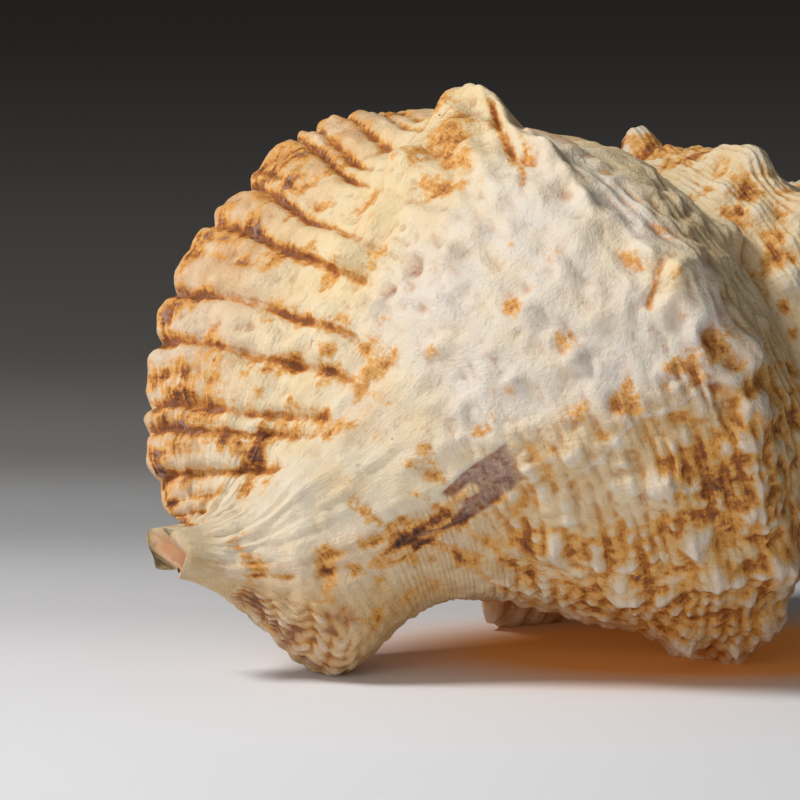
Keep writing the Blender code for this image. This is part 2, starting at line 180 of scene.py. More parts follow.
SEAM = seam_point()
MOUTH_END = [row for row in PROFILE if row[0] == MOUTH_END_PLACE][0]
SIDE = ((0.0, SEAM[0], SEAM[1], 1.0),) + PROFILE
EDGE = ((0.0, SEAM[0], SEAM[1]),) + LIP_EDGE + ((MOUTH_END_PLACE, MOUTH_END[1], MOUTH_END[2]),)
SIDE_RADIUS = [(row[0], row[1]) for row in SIDE]
SIDE_HEIGHT = [(row[0], row[2]) for row in SIDE]
SIDE_SHARE = [(row[0], row[3]) for row in SIDE]
EDGE_RADIUS = [(row[0], row[1]) for row in EDGE]
EDGE_HEIGHT = [(row[0], row[2]) for row in EDGE]


def turned_from(turn, azimuth):
    """Angle in degrees between a turn of the spiral and an azimuth, from -180 to 180."""
    return (LIP_AZIMUTH + 360.0 * turn - azimuth + 180.0) % 360.0 - 180.0


def bare_skin(turn, s, flared=1.0, bent=1.0):
    """Points of the smooth outer skin of the standing shell, axis up Z."""
    turn = np.asarray(turn, float)
    s = np.asarray(s, float)
    scale = GROWTH_PER_TURN ** (turn * eased(SIDE_SHARE, s))
    side_r, side_z = eased(SIDE_RADIUS, s), eased(SIDE_HEIGHT, s)
    edge_r, edge_z = eased(EDGE_RADIUS, s), eased(EDGE_HEIGHT, s)
    reach = eased(FLARE_TURNS, s)
    flare = np.clip((turn + reach) / reach, 0.0, FLARE_LIMIT) ** FLARE_CURVE
    flare = np.where(s < MOUTH_END_PLACE, flare * flared, 0.0)
    radius = scale * side_r + flare * (edge_r - side_r)
    height = APEX_HEIGHT - scale * (APEX_HEIGHT - side_z) + flare * (edge_z - side_z)
    before = np.clip(1.0 + (turn - OLD_LIP_TURN) / OLD_LIP_RISE, 0.0, 1.0) ** FLARE_CURVE
    old = before * (1 - smooth(OLD_LIP_TURN, OLD_LIP_TURN + OLD_LIP_FALL, turn))
    old = OLD_LIP_SIZE * old * between(s, *OLD_LIP_PLACES) * GROWTH_PER_TURN**turn
    radius = radius + old * (edge_r - side_r)
    height = height + old * (edge_z - side_z)
    folded = bell(turned_from(turn, FOLD_AZIMUTH) / FOLD_SPREAD)
    radius = radius + FOLD_HEIGHT * folded * bell((s - FOLD_PLACE) / FOLD_LENGTH)
    height = height + eased(CANAL_BREAK, turned_from(turn, 0.0)) * smooth(CANAL_BREAK_START, 1.0, s)
    angle = np.radians(LIP_AZIMUTH + 360.0 * turn)
    bend = bent * eased(CANAL_BEND, s)
    return np.stack(np.broadcast_arrays(radius * np.cos(angle), bend - radius * np.sin(angle), height), -1)


def skin_normal(turn, s, flared=1.0, bent=1.0):
    """Direction straight out of the smooth skin."""
    below, above = np.minimum(s + NORMAL_STEP, 1.0), np.maximum(s - NORMAL_STEP, 0.0)
    along = bare_skin(turn + NORMAL_STEP, s, flared, bent) - bare_skin(turn - NORMAL_STEP, s, flared, bent)
    down = bare_skin(turn, below, flared, bent) - bare_skin(turn, above, flared, bent)
    normal = np.cross(along, down)
    return normal / np.linalg.norm(normal, axis=-1, keepdims=True)


def grown_back(points, turns):
    """The same points at an earlier size: turned back about the axis and shrunk to the apex."""
    scale = GROWTH_PER_TURN**-turns
    angle = 2 * math.pi * turns
    x, y, z = points[..., 0], points[..., 1], points[..., 2]
    back = (
        scale * (x * math.cos(angle) - y * math.sin(angle)),
        scale * (x * math.sin(angle) + y * math.cos(angle)),
        APEX_HEIGHT - scale * (APEX_HEIGHT - z),
    )
    return np.stack(back, -1)


def resting_matrix():
    """Turn the standing shell so that it lies, and make its lengths metres."""
    axis = AXIS.normalized()
    front = (FRONT - axis * FRONT.dot(axis)).normalized()
    side = axis.cross(front)
    turn = Matrix((front, side, axis)).transposed().to_4x4()
    return Matrix.Scale(MM, 4) @ Matrix.Translation(RING_MIDDLE) @ turn


# Relief of the outer skin: ribs and grooves fanning out over the flared lip, a swelling behind it,
# shoulder knobs, pointed nodules, cords crossed by growth lines, worn chalk and scaly folds. All of
# it is the shell's own lime, laid down at the lip and later worn.

# Grooves of the lip: place, depth, turns that they run back from the edge, stain
GROOVES = (
    (0.303, 0.7, 0.05, 0.5),
    (0.333, 1.0, 0.06, 0.6),
    (0.376, 1.0, 0.06, 0.7),
    (0.426, 1.2, 0.06, 0.7),
    (0.454, 1.2, 0.07, 0.9),
    (0.519, 0.5, 0.035, 0.7),
    (0.541, 1.3, 0.10, 1.0),
    (0.591, 1.4, 0.12, 1.0),
    (0.625, 0.6, 0.04, 0.4),
    (0.661, 1.6, 0.20, 1.0),
    (0.710, 1.7, 0.23, 1.0),
    (0.742, 0.5, 0.05, 0.4),
    (0.768, 1.7, 0.30, 1.0),
    (0.790, 1.4, 0.22, 0.9),
    (0.812, 0.6, 0.05, 0.5),
    (0.836, 1.4, 0.20, 0.9),
    (0.870, 0.8, 0.08, 0.6),
    (0.905, 0.8, 0.08, 0.5),
)
GROOVE_WIDTH = 0.0078
GROOVE_DEPTH = 0.85
GROOVE_WANDER = 0.0028
STAIN_WIDTH = 0.0034
HALO_WIDTH = 0.0175
WIDEST_RIB = 0.055
RIB_EDGE_DEPTH = 1.0
RIB_EDGES = np.array([place for place, depth, _, _ in GROOVES if depth >= RIB_EDGE_DEPTH])
RIB_RISE = 16.0
# How the ribs slant: turn, shift of their place
RIB_TURN = (
    (-1.00, 0.37),
    (-0.50, 0.195),
    (-0.30, 0.118),
    (-0.276, 0.095),
    (-0.24, 0.062),
    (-0.195, 0.034),
    (-0.147, 0.014),
    (-0.10, 0.002),
    (0.00, 0.0),
)
SCALLOP = 0.0036
STRIA_STEP = 0.0072
LAYER_STEP = 0.021
LAYER_HEIGHT = 0.45
VARIX_HEIGHT = 2.6
VARIX_WIDTH = 0.026
VARIX_LUMP_STEP = 0.105
FOLD_SCALE_STEP = 0.0185
FOLD_ROW_STEP = 0.0175
FOLD_SCALE_HEIGHT = 1.6
CORD_STEP = 0.0265
GROWTH_LINE_STEP = 0.0122
CELL_HEIGHT = 1.05
NODULE_HEIGHT = 1.5
RAMP_RIDGE_STEP = 0.023
BUTTON_HEIGHT = 1.15
FLAKE_STEP = 0.55
FLAKE_PLACES = (0.24, 0.28, 0.50, 0.56)
SCAR_DEPTH = 0.5

# Knobs, lumps, nodules and hollows: turn, place, height, width, sharpness
KNOBS = (
    (-0.064, 0.288, 4.5, 7.0, 3.4),
    (-0.058, 0.312, 1.2, 2.6, 2.4),
    (-0.069, 0.287, 1.3, 2.3, 2.4),
    (-0.081, 0.276, 3.0, 2.8, 2.8),
    (-0.093, 0.284, 3.2, 2.6, 2.8),
    (-0.078, 0.330, 1.6, 2.4, 2.4),
    (-0.064, 0.340, 1.4, 2.2, 2.4),
    (-0.094, 0.330, 1.2, 2.2, 2.4),
    (-0.088, 0.365, 2.0, 4.2, 2.2),
    (-0.079, 0.424, 1.6, 4.5, 2.2),
    (-0.070, 0.200, -4.6, 8.0, 2.4),
    (-0.112, 0.225, -4.6, 9.0, 2.4),
    (-0.160, 0.235, -3.0, 9.0, 2.4),
    (-0.200, 0.245, -2.0, 9.0, 2.4),
    (-0.020, 0.070, 2.8, 4.6, 2.6),
    (-0.260, 0.265, 5.0, 6.5, 2.4),
    (-0.302, 0.215, 2.6, 4.5, 2.4),
    (-0.350, 0.270, 2.5, 5.0, 2.4),
    (-0.368, 0.410, 2.2, 3.6, 1.8),
    (-0.396, 0.290, 2.8, 4.0, 1.8),
    (-0.410, 0.390, 3.0, 3.6, 1.8),
    (-0.420, 0.570, 2.0, 3.4, 1.6),
    (-0.437, 0.355, 4.2, 4.0, 1.8),
    (-0.442, 0.250, 4.2, 4.4, 1.8),
    (-0.456, 0.490, 3.8, 4.2, 1.8),
    (-0.500, 0.270, 4.6, 5.0, 1.8),
    (-0.510, 0.400, 4.2, 4.8, 1.8),
    (-0.535, 0.305, 5.4, 5.5, 1.8),
    (-0.555, 0.200, 3.0, 5.0, 2.4),
    (-0.560, 0.370, 4.0, 5.0, 2.0),
    (-0.620, 0.270, 5.2, 6.0, 2.4),
    (-0.640, 0.400, 3.0, 5.5, 2.4),
    (-0.790, 0.270, 4.5, 6.5, 2.4),
    (-0.860, 0.270, 4.0, 6.0, 2.4),
    (-1.002, 0.264, 9.6, 5.2, 3.4),
    (-1.036, 0.262, 1.6, 3.0, 2.4),
    (-1.147, 0.250, 3.9, 4.4, 3.2),
    (-1.126, 0.275, 2.2, 2.8, 2.8),
    (-1.212, 0.225, 4.4, 4.4, 2.8),
    (-1.170, 0.350, 1.8, 2.6, 2.4),
    (-1.200, 0.330, 1.4, 2.2, 2.4),
    (-1.235, 0.300, 1.8, 2.6, 2.4),
    (-1.260, 0.360, 2.0, 3.0, 2.4),
    (-0.212, 0.045, 3.2, 3.6, 3.2),
    (-0.245, 0.030, -2.2, 2.4, 2.6),
    (-0.086, 0.432, 2.6, 4.4, 2.6),
    (-0.099, 0.520, 3.4, 4.8, 2.6),
    (-0.100, 0.580, 2.8, 3.8, 2.6),
    (-0.108, 0.637, 3.2, 4.8, 2.6),
    (-0.128, 0.690, 1.8, 3.6, 2.4),
    (-0.129, 0.737, 2.2, 4.5, 2.0),
    (-0.222, 0.805, 2.0, 5.0, 2.0),
    (-0.174, 0.516, 1.6, 3.0, 2.4),
    (-0.240, 0.298, 2.0, 3.0, 2.6),
    (-0.258, 0.290, 2.0, 2.6, 2.6),
    (-0.280, 0.272, 2.0, 2.6, 2.6),
    (-0.286, 0.298, 1.6, 2.4, 2.2),
    (-0.270, 0.330, 1.2, 2.0, 2.2),
    (-0.255, 0.352, 1.1, 2.2, 2.2),
    (-0.315, 0.241, 1.8, 2.8, 2.2),
    (-0.331, 0.240, 1.6, 2.6, 2.2),
    (-0.279, 0.461, 1.5, 2.3, 2.6),
    (-0.241, 0.481, 1.3, 2.4, 2.6),
    (-0.277, 0.539, 1.0, 1.8, 2.6),
    (-0.195, 0.544, 1.2, 2.6, 2.2),
    (-0.170, 0.548, 1.0, 2.4, 2.2),
    (-0.204, 0.330, 1.0, 2.6, 2.2),
    (-0.222, 0.381, 0.9, 2.4, 2.2),
    (-0.152, 0.596, -1.5, 2.6, 2.4),
    (-0.156, 0.552, -1.3, 2.4, 2.4),
    (-0.155, 0.308, 1.2, 2.4, 2.0),
    (-0.147, 0.326, 1.4, 2.2, 2.0),
    (-0.174, 0.318, 1.4, 2.2, 2.0),
    (-0.195, 0.323, 1.3, 2.2, 2.0),
    (-0.213, 0.310, 1.2, 2.2, 2.0),
    (-0.300, 0.241, 1.2, 2.2, 2.0),
    (-0.308, 0.226, 1.2, 2.0, 2.0),
    (-0.410, 0.566, 1.5, 2.2, 1.6),
    (-0.439, 0.494, 2.1, 2.4, 1.6),
    (-0.362, 0.419, 2.1, 2.4, 1.6),
    (-0.369, 0.378, 1.8, 2.2, 1.6),
    (-0.402, 0.388, 2.1, 2.2, 1.6),
    (-0.424, 0.363, 2.4, 2.4, 1.6),
    (-0.390, 0.298, 1.8, 2.2, 1.6),
    (-0.433, 0.268, 2.1, 2.4, 1.6),
    (-0.513, 0.313, 2.4, 2.6, 1.6),
    (-0.552, 0.351, 1.8, 2.6, 1.6),
    (-0.461, 0.446, 1.8, 2.4, 1.6),
    (-0.426, 0.519, 1.8, 2.2, 1.6),
    (-0.388, 0.544, 1.4, 2.0, 1.6),
)
SHOULDER_PLACE = 0.24
SPIRE_KNOB_START = -1.20
SPIRE_KNOB_END = -8.0
SPIRE_KNOB_STEP = 0.13
SPIRE_KNOB_HEIGHT = 6.0
SPIRE_KNOB_WIDTH = 6.0
SPIRE_KNOB_SHARPNESS = 2.4
NEAR_TURNS = 0.3
LATTICE = 64

# Flutes that run down from the knobs: turn and place of both ends, height, width
FLUTES = (
    (-0.118, 0.318, -0.155, 0.308, 1.6, 1.7),
    (-0.155, 0.308, -0.196, 0.320, 1.5, 1.8),
    (-0.132, 0.347, -0.185, 0.347, -1.2, 2.0),
    (-0.236, 0.304, -0.292, 0.296, 1.4, 2.2),
    (-0.292, 0.300, -0.330, 0.262, 1.1, 1.8),
    (-0.150, 0.610, -0.196, 0.560, 1.2, 1.6),
    (-0.120, 0.500, -0.175, 0.470, 1.0, 1.8),
    (-0.087, 0.286, -0.150, 0.366, -1.3, 1.1),
    (-0.145, 0.346, -0.174, 0.390, -1.0, 1.1),
    (-0.078, 0.290, -0.136, 0.370, 1.0, 1.5),
    (-0.103, 0.290, -0.165, 0.378, 1.2, 1.6),
    (-0.125, 0.290, -0.180, 0.350, 1.0, 1.5),
    (-0.110, 0.375, -0.165, 0.420, 1.0, 1.8),
    (-0.244, 0.305, -0.262, 0.345, 0.9, 1.2),
    (-0.256, 0.290, -0.280, 0.335, 1.0, 1.2),
    (-0.250, 0.300, -0.268, 0.340, -0.8, 0.8),
    (-0.293, 0.262, -0.300, 0.300, 0.8, 1.1),
    (-0.310, 0.245, -0.318, 0.285, 0.8, 1.1),
)
# Length of the skin along a whole turn and along the whole side
TURN_LENGTH = 330.0
PLACE_LENGTH = 150.0

# Edge where the chalky layer ends and an older one shows: place and turn
FLAKE_EDGE = (
    (0.20, -0.317),
    (0.336, -0.318),
    (0.378, -0.323),
    (0.419, -0.325),
    (0.454, -0.334),
    (0.501, -0.349),
    (0.56, -0.36),
)
# Edge where the rusty layers start, and both edges of the scar: place and turn
RUST_EDGE = (
    (0.20, -0.286),
    (0.306, -0.294),
    (0.376, -0.299),
    (0.454, -0.304),
    (0.506, -0.306),
    (0.561, -0.311),
    (0.596, -0.330),
    (0.64, -0.345),
    (0.74, -0.36),
)
SCAR_PLACES = (0.575, 0.592, 0.765, 0.78)
SCAR_UPPER = (
    (0.584, -0.318),
    (0.604, -0.321),
    (0.652, -0.336),
    (0.687, -0.354),
    (0.714, -0.372),
    (0.772, -0.402),
)
SCAR_LOWER = (
    (0.584, -0.352),
    (0.62, -0.366),
    (0.649, -0.376),
    (0.684, -0.387),
    (0.739, -0.412),
    (0.772, -0.412),
)


def lumpy(points, size, seed):
    """Soft random lumps between -1 and 1, about as wide as size."""
    table = np.random.default_rng(seed).uniform(-1.0, 1.0, (LATTICE, LATTICE, LATTICE))
    at = np.asarray(points) / size
    low = np.floor(at).astype(int)
    part = at - low
    part = part * part * (3.0 - 2.0 * part)
    total = 0.0
    for corner in range(8):
        step = np.array([corner & 1, corner >> 1 & 1, corner >> 2 & 1])
        share = np.where(step == 1, part, 1.0 - part).prod(-1)
        cell = (low + step) % LATTICE
        total = total + share * table[cell[..., 0], cell[..., 1], cell[..., 2]]
    return total


def surface_lumps(turn, s, turn_size, place_size, seed):
    """Lumps drawn out along the spiral or across it."""
    turn, s = np.broadcast_arrays(turn, s)
    return lumpy(np.stack([turn / turn_size, s / place_size, 0.0 * turn + seed * 0.37], -1), 1.0, seed)


def cord_place(turn, s):
    """Place that stays the same along a spiral cord."""
    c = s + eased(RIB_TURN, turn) * smooth(0.60, 0.75, s)
    upper = (1 - smooth(0.42, 0.66, s)) * smooth(0.20, 0.30, s)
    return c - 0.04 * smooth(0.0, 0.05, -turn) * upper * (turn > -0.5)


def knob_rows():
    """All knobs: those of the last turns, and a regular row that shrinks up the spire."""
    knobs = list(KNOBS)
    turn = SPIRE_KNOB_START - SPIRE_KNOB_STEP
    while turn > SPIRE_KNOB_END:
        size = GROWTH_PER_TURN ** (turn + 1.0)
        height, width = SPIRE_KNOB_HEIGHT * size, SPIRE_KNOB_WIDTH * size
        knobs.append((turn, SHOULDER_PLACE, height, width, SPIRE_KNOB_SHARPNESS))
        turn -= SPIRE_KNOB_STEP
    return knobs


def off_line(turn, s, row):
    """Distance in millimetres from a line between two places, and how far along it."""
    x, y = (turn - row[0]) * TURN_LENGTH, (s - row[1]) * PLACE_LENGTH
    along_x, along_y = (row[2] - row[0]) * TURN_LENGTH, (row[3] - row[1]) * PLACE_LENGTH
    share = np.clip((x * along_x + y * along_y) / (along_x**2 + along_y**2), 0.0, 1.0)
    return np.hypot(x - share * along_x, y - share * along_y), share


def scar_share(turn, s):
    """The long purple-brown scar where a flake has come off."""
    wave = 0.0035 * surface_lumps(turn, s, 0.012, 0.02, 53)
    upper, lower = eased(SCAR_UPPER, s) + wave, eased(SCAR_LOWER, s) + wave
    share = between(turn, lower - 0.003, lower + 0.001, upper - 0.002, upper + 0.001)
    pieces_left = smooth(0.0, 0.25, surface_lumps(turn, s, 0.011, 0.022, 55) + 14.0 * (0.672 - s))
    return share * pieces_left * between(s, *SCAR_PLACES)


def groove_marks(turn, s):
    """Depth of the lip's grooves, and how strongly each place is stained by them."""
    c = cord_place(turn, s)
    wander = GROOVE_WANDER * surface_lumps(turn, s, 0.016, 0.08, 5)
    spread = STAIN_WIDTH * (1.0 + 0.6 * surface_lumps(turn, s, 0.013, 0.05, 6))
    depth, dark, halo = 0.0, 0.0, 0.0
    for place, deep, reach, stain in GROOVES:
        off = c + wander - place
        inland = 1 - smooth(reach * 0.75, reach * 1.15, -turn)
        faint = 0.25 * (1 - smooth(0.22, 0.36, -turn))
        groove = bell(off / GROOVE_WIDTH)
        depth = depth + deep * groove * np.maximum(inland, faint)
        dark = dark + stain * bell(off / spread) * inland
        halo = halo + stain * bell(off / HALO_WIDTH) * np.maximum(inland, faint)
    return depth, dark, halo


def rib_dome(c):
    """How round a rib stands between the two grooves beside it, and how wide it is."""
    k = np.clip(np.searchsorted(RIB_EDGES, c) - 1, 0, len(RIB_EDGES) - 2)
    gap = RIB_EDGES[k + 1] - RIB_EDGES[k]
    share = np.clip((c - RIB_EDGES[k]) / gap, 0.0, 1.0)
    return np.sqrt(4.0 * share * (1.0 - share)), np.minimum(gap, WIDEST_RIB)


def lip_edge_turn(turn, s):
    """The lip's edge is scalloped: it stands back where a groove meets it."""
    c = cord_place(turn, s)
    dome, gap = rib_dome(c)
    ribbed = between(c, 0.31, 0.345, 0.85, 0.90)
    back = ribbed * (1 - dome) * (0.35 + 13.0 * gap) + 0.4 * (1 - ribbed)
    back = back + 0.25 * surface_lumps(0.0 * turn, s, 1.0, 0.012, 71)
    return turn - SCALLOP * back * smooth(-0.05, 0.0, turn)


def youngest(turn):
    """1 on the last half turn, which the viewer sees, and 0 before it."""
    return np.where(turn > -0.5, 1.0, 0.0)


def fan_share(turn, s):
    """The flared fan of the lip, from the swelling to the edge."""
    varix_turn = -eased(FLARE_TURNS, s)
    fan = smooth(varix_turn - 0.10, varix_turn, turn) * youngest(turn)
    return fan * between(s, 0.16, 0.30, 0.90, 0.94)


def rib_relief(turn, s):
    """Ribs and grooves that fan out over the flared lip and corrugate its wall."""
    dome, gap = rib_dome(cord_place(turn, s))
    rise = RIB_RISE * (0.35 + 0.65 * smooth(-0.11, -0.01, turn))
    return (rise * gap * (dome - 0.6) - GROOVE_DEPTH * groove_marks(turn, s)[0]) * fan_share(turn, s)


def lip_layers(turn, s, points):
    """Fine growth lines, broken layers and lumps on the ribs of the lip."""
    lumps = partial(surface_lumps, turn, s)
    striae = np.sin(2 * math.pi * (turn / STRIA_STEP + 0.9 * lumps(0.03, 0.06, 7)))
    striae = 0.15 * striae * (0.5 + 0.5 * lumps(0.03, 0.04, 8))
    layer = (turn / LAYER_STEP + 0.8 * lumps(0.05, 0.035, 9)) % 1.0
    layer = layer * (1 - smooth(0.86, 1.0, layer)) * (0.5 + 0.5 * lumps(0.02, 0.03, 10))
    return striae + LAYER_HEIGHT * layer + 0.85 * lumpy(points, 4.4, 72) + 0.38 * lumpy(points, 2.0, 76)


def neck_lines(turn, s, points):
    """Rough growth lines of the neck and the canal."""
    growth = surface_lumps(turn, s, 0.0125, 0.06, 81) + 0.6 * surface_lumps(turn, s, 0.03, 0.03, 82)
    return 0.50 * growth + 0.30 * lumpy(points, 2.0, 83)


def fold_scales(turn, s):
    """Rows of scales that overlap like tiles on the folds beside the canal."""
    lumps = partial(surface_lumps, turn, s)
    scale = (turn / FOLD_SCALE_STEP + 0.9 * lumps(0.045, 0.016, 3)) % 1.0
    scale = scale * (1 - smooth(0.72, 1.0, scale))
    row = np.abs(np.cos(math.pi * (s / FOLD_ROW_STEP + 0.9 * lumps(0.035, 0.03, 4))))
    row = row * (0.65 + 0.35 * lumps(0.02, 0.02, 14))
    return FOLD_SCALE_HEIGHT * (scale * (0.35 + 0.65 * row) + 0.35 * row - 0.35)


def varix_swelling(turn, s):
    """The swelling that runs behind the lip, with soft lumps along it."""
    swelling = bell((turn + eased(FLARE_TURNS, s)) / VARIX_WIDTH) * between(s, 0.20, 0.32, 0.66, 0.80)
    return VARIX_HEIGHT * swelling * (0.55 + 0.45 * np.cos(2 * math.pi * (s - 0.36) / VARIX_LUMP_STEP))


def net_cells(turn, s, points, net):
    """Cords crossed by growth lines, with pointed nodules where the net is whole."""
    lumps = partial(surface_lumps, turn, s)
    sway = 0.55 * lumps(0.05, 0.06, 11) + 0.34 * lumps(0.014, 0.03, 12)
    cord = np.cos(2 * math.pi * (cord_place(turn, s) / CORD_STEP + sway))
    sway = 0.8 * lumps(0.05, 0.05, 13) + 0.40 * lumps(0.018, 0.02, 16)
    line = np.cos(2 * math.pi * (turn / GROWTH_LINE_STEP + sway))
    cells = (0.5 + 0.5 * cord) * (0.35 + 0.65 * (0.5 + 0.5 * line))
    uneven = np.clip(0.75 + 0.75 * lumps(0.022, 0.035, 18), 0.1, 1.4)
    nodules = np.maximum(lumpy(points, 3.6, 73) - 0.22, 0.0)
    nodules = nodules + 0.5 * np.maximum(lumpy(points, 2.2, 74) - 0.2, 0.0)
    cells = CELL_HEIGHT * (cells - 0.35) * uneven
    cells = cells + net * (0.5 * lumpy(points, 2.6, 21) + NODULE_HEIGHT * nodules)
    return cells * (1 - 0.75 * smooth(0.58, 0.70, s)) * (0.25 + 0.75 * net)


def ramp_ridges(turn, s, points):
    """Beaded spiral ridges on the slope above the knobs."""
    lumps = partial(surface_lumps, turn, s)
    ridge = np.cos(2 * math.pi * (s / RAMP_RIDGE_STEP + 0.55 * lumps(0.04, 0.05, 24)))
    return 0.32 * ridge * (0.6 + 0.6 * lumps(0.012, 0.02, 25)) + 0.95 * lumpy(points, 3.2, 75)


def past_flake(turn, s):
    """Turns by which a place lies past the ragged edge of the flaked layer."""
    return turn - eased(FLAKE_EDGE, s) + 0.003 * surface_lumps(turn, s, 0.01, 0.03, 67)


def flaked_layer(turn, s):
    """The edge of the flaked layer, a small step that fades away behind it."""
    step = smooth(-0.0016, 0.0016, past_flake(turn, s))
    step = step * (1 - smooth(0.0, 0.05, turn - eased(FLAKE_EDGE, s)))
    return FLAKE_STEP * step * between(s, *FLAKE_PLACES)


def relief(turn, s, points):
    """How far the skin stands out."""
    last = youngest(turn)
    ribbed = fan_share(turn, s)
    height = rib_relief(turn, s) + lip_layers(turn, s, points) * ribbed
    height = height + neck_lines(turn, s, points) * neck_share(turn, s)
    height = height + fold_scales(turn, s) * fold_share(turn, s) + varix_swelling(turn, s)
    height = height + net_cells(turn, s, points, net_share(turn, s)) * last_or_older(turn, s)
    height = height + ramp_ridges(turn, s, points) * ramp_share(turn, s)
    buttons = surface_lumps(turn, cord_place(turn, s), 0.0125, 0.022, 61)
    height = height + BUTTON_HEIGHT * np.maximum(buttons, -0.2) * back_share(turn, s)
    soft = lumpy(points, 6.5, 17) * 0.55 + lumpy(points, 3.0, 19) * 0.42 + lumpy(points, 1.5, 23) * 0.17
    height = height + soft * smooth(0.02, 0.12, s) * (1 - 0.6 * smooth(0.9, 1.0, s)) * (1 - 0.45 * ribbed)
    for flute in FLUTES:
        off, share = off_line(turn, s, flute)
        height = height + flute[4] * bell(off / flute[5]) * (1 - 0.4 * share) * last
    return height + (flaked_layer(turn, s) - SCAR_DEPTH * scar_share(turn, s)) * last


def ramp_share(turn, s):
    """The slope above the knobs, with beaded spiral ridges."""
    share = between(s, 0.05, 0.10, 0.27, 0.33) * (1 - smooth(-0.20, -0.12, turn))
    return share * (turn > -1.0)


def last_or_older(turn, s):
    """Cords and growth lines show less on the flared lip and near the seam."""
    fan = smooth(-0.14, -0.08, turn) * youngest(turn)
    return (1 - fan) * between(s, 0.03, 0.10, 0.76, 0.86)


def back_share(turn, s):
    """The worn back between the swelling and the rusty layers, with rows of soft buttons."""
    share = between(turn, -0.36, -0.30, -0.13, -0.08)
    return share * between(s, 0.20, 0.28, 0.60, 0.72)


def neck_share(turn, s):
    """The neck and the canal's near side, rough with growth lines."""
    share = smooth(-0.46, -0.40, turn) * between(s, 0.60, 0.70, 0.94, 0.99)
    return share * (turn > -0.5)


def fold_share(turn, s):
    """The folds beside the canal."""
    share = between(turn, -0.66, -0.58, -0.485, -0.425)
    return share * between(s, 0.775, 0.83, 0.91, 0.95)


def net_share(turn, s):
    """Where the cords and growth lines cross in a net that wear hasn't taken off."""
    edge = eased(RUST_EDGE, s) + 0.010 * surface_lumps(turn, s, 0.05, 0.03, 29)
    start = 1 - smooth(edge - 0.012, edge + 0.006, turn)
    return start * between(s, 0.20, 0.26, 0.74, 0.84) * (0.35 + 0.65 * (turn > -1.0))


def shaped_skin(turn, s):
    """Points of the outer skin with its relief and knobs."""
    bare = bare_skin(turn, s)
    normal = skin_normal(turn, s)
    free = np.where(turn < -1.0, smooth(SEAM_PLACE, SEAM_PLACE - 0.05, s), 1.0)
    free = free * smooth(0.0, 0.03, s)
    points = bare + normal * (relief(turn, s, bare) * free)[..., None]
    low, high = turn.min(), turn.max()
    for knob_turn, knob_place, height, width, sharpness in knob_rows():
        if knob_turn < low - NEAR_TURNS or knob_turn > high + NEAR_TURNS:
            continue
        knob_turn, knob_place = np.array([knob_turn]), np.array([knob_place])
        middle = bare_skin(knob_turn, knob_place)[0]
        out = skin_normal(knob_turn, knob_place)[0]
        off = np.linalg.norm(bare - middle, axis=-1) / width
        near = np.exp(-(off**sharpness)) * (np.abs(turn - knob_turn) < NEAR_TURNS)
        points = points + out * (height * near)[..., None]
    return points, ((points - bare) * normal).sum(-1)


# Colour of the outer skin, as shares kept on the mesh: brown stain in the grooves of the lip, rust
# in the hollows of the worn layers, white chalk on the back, cream on the swelling, purple-brown
# on the folds.

# Stain spots: turn, place, size in millimetres, strength
STAIN_SPOTS = (
    (-0.245, 0.025, 2.2, 1.10),
    (-0.258, 0.030, 1.8, 0.70),
    (-1.004, 0.305, 2.6, 0.75),
    (-0.990, 0.285, 2.4, 0.45),
    (-1.012, 0.335, 2.6, 0.45),
    (-1.118, 0.415, 1.4, 0.80),
    (-1.150, 0.412, 1.8, 0.95),
    (-1.175, 0.330, 3.0, 0.55),
    (-1.190, 0.360, 3.4, 0.55),
    (-1.280, 0.400, 2.4, 0.90),
    (-1.300, 0.410, 2.0, 0.85),
    (-0.066, 0.335, 2.6, 0.50),
    (-0.090, 0.380, 3.4, 0.50),
    (-0.108, 0.392, 3.4, 0.60),
    (-0.120, 0.405, 2.4, 0.50),
    (-0.092, 0.445, 3.0, 0.40),
    (-0.116, 0.462, 2.6, 0.50),
    (-0.129, 0.455, 2.0, 0.60),
    (-0.150, 0.500, 2.4, 0.40),
    (-0.030, 0.060, 3.0, 0.45),
    (-0.018, 0.090, 2.6, 0.40),
    (-0.230, 0.496, 1.7, 0.55),
    (-0.267, 0.466, 2.0, 0.55),
    (-0.099, 0.378, 2.6, 0.50),
    (-0.111, 0.406, 2.6, 0.50),
    (-0.085, 0.345, 3.0, 0.42),
    (-0.105, 0.320, 2.4, 0.40),
    (-0.133, 0.440, 3.0, 0.40),
    (-0.128, 0.470, 2.2, 0.42),
    (-0.238, 0.330, 2.2, 0.45),
    (-0.245, 0.318, 1.6, 0.40),
    (-0.262, 0.300, 1.6, 0.40),
    (-0.090, 0.430, 2.6, 0.38),
    (-0.120, 0.560, 2.2, 0.30),
    (-0.150, 0.700, 2.4, 0.30),
    (-0.165, 0.620, 2.0, 0.30),
    (-0.200, 0.640, 2.2, 0.34),
    (-0.225, 0.600, 1.8, 0.28),
    (-0.280, 0.560, 2.6, 0.34),
    (-0.300, 0.600, 2.6, 0.36),
)
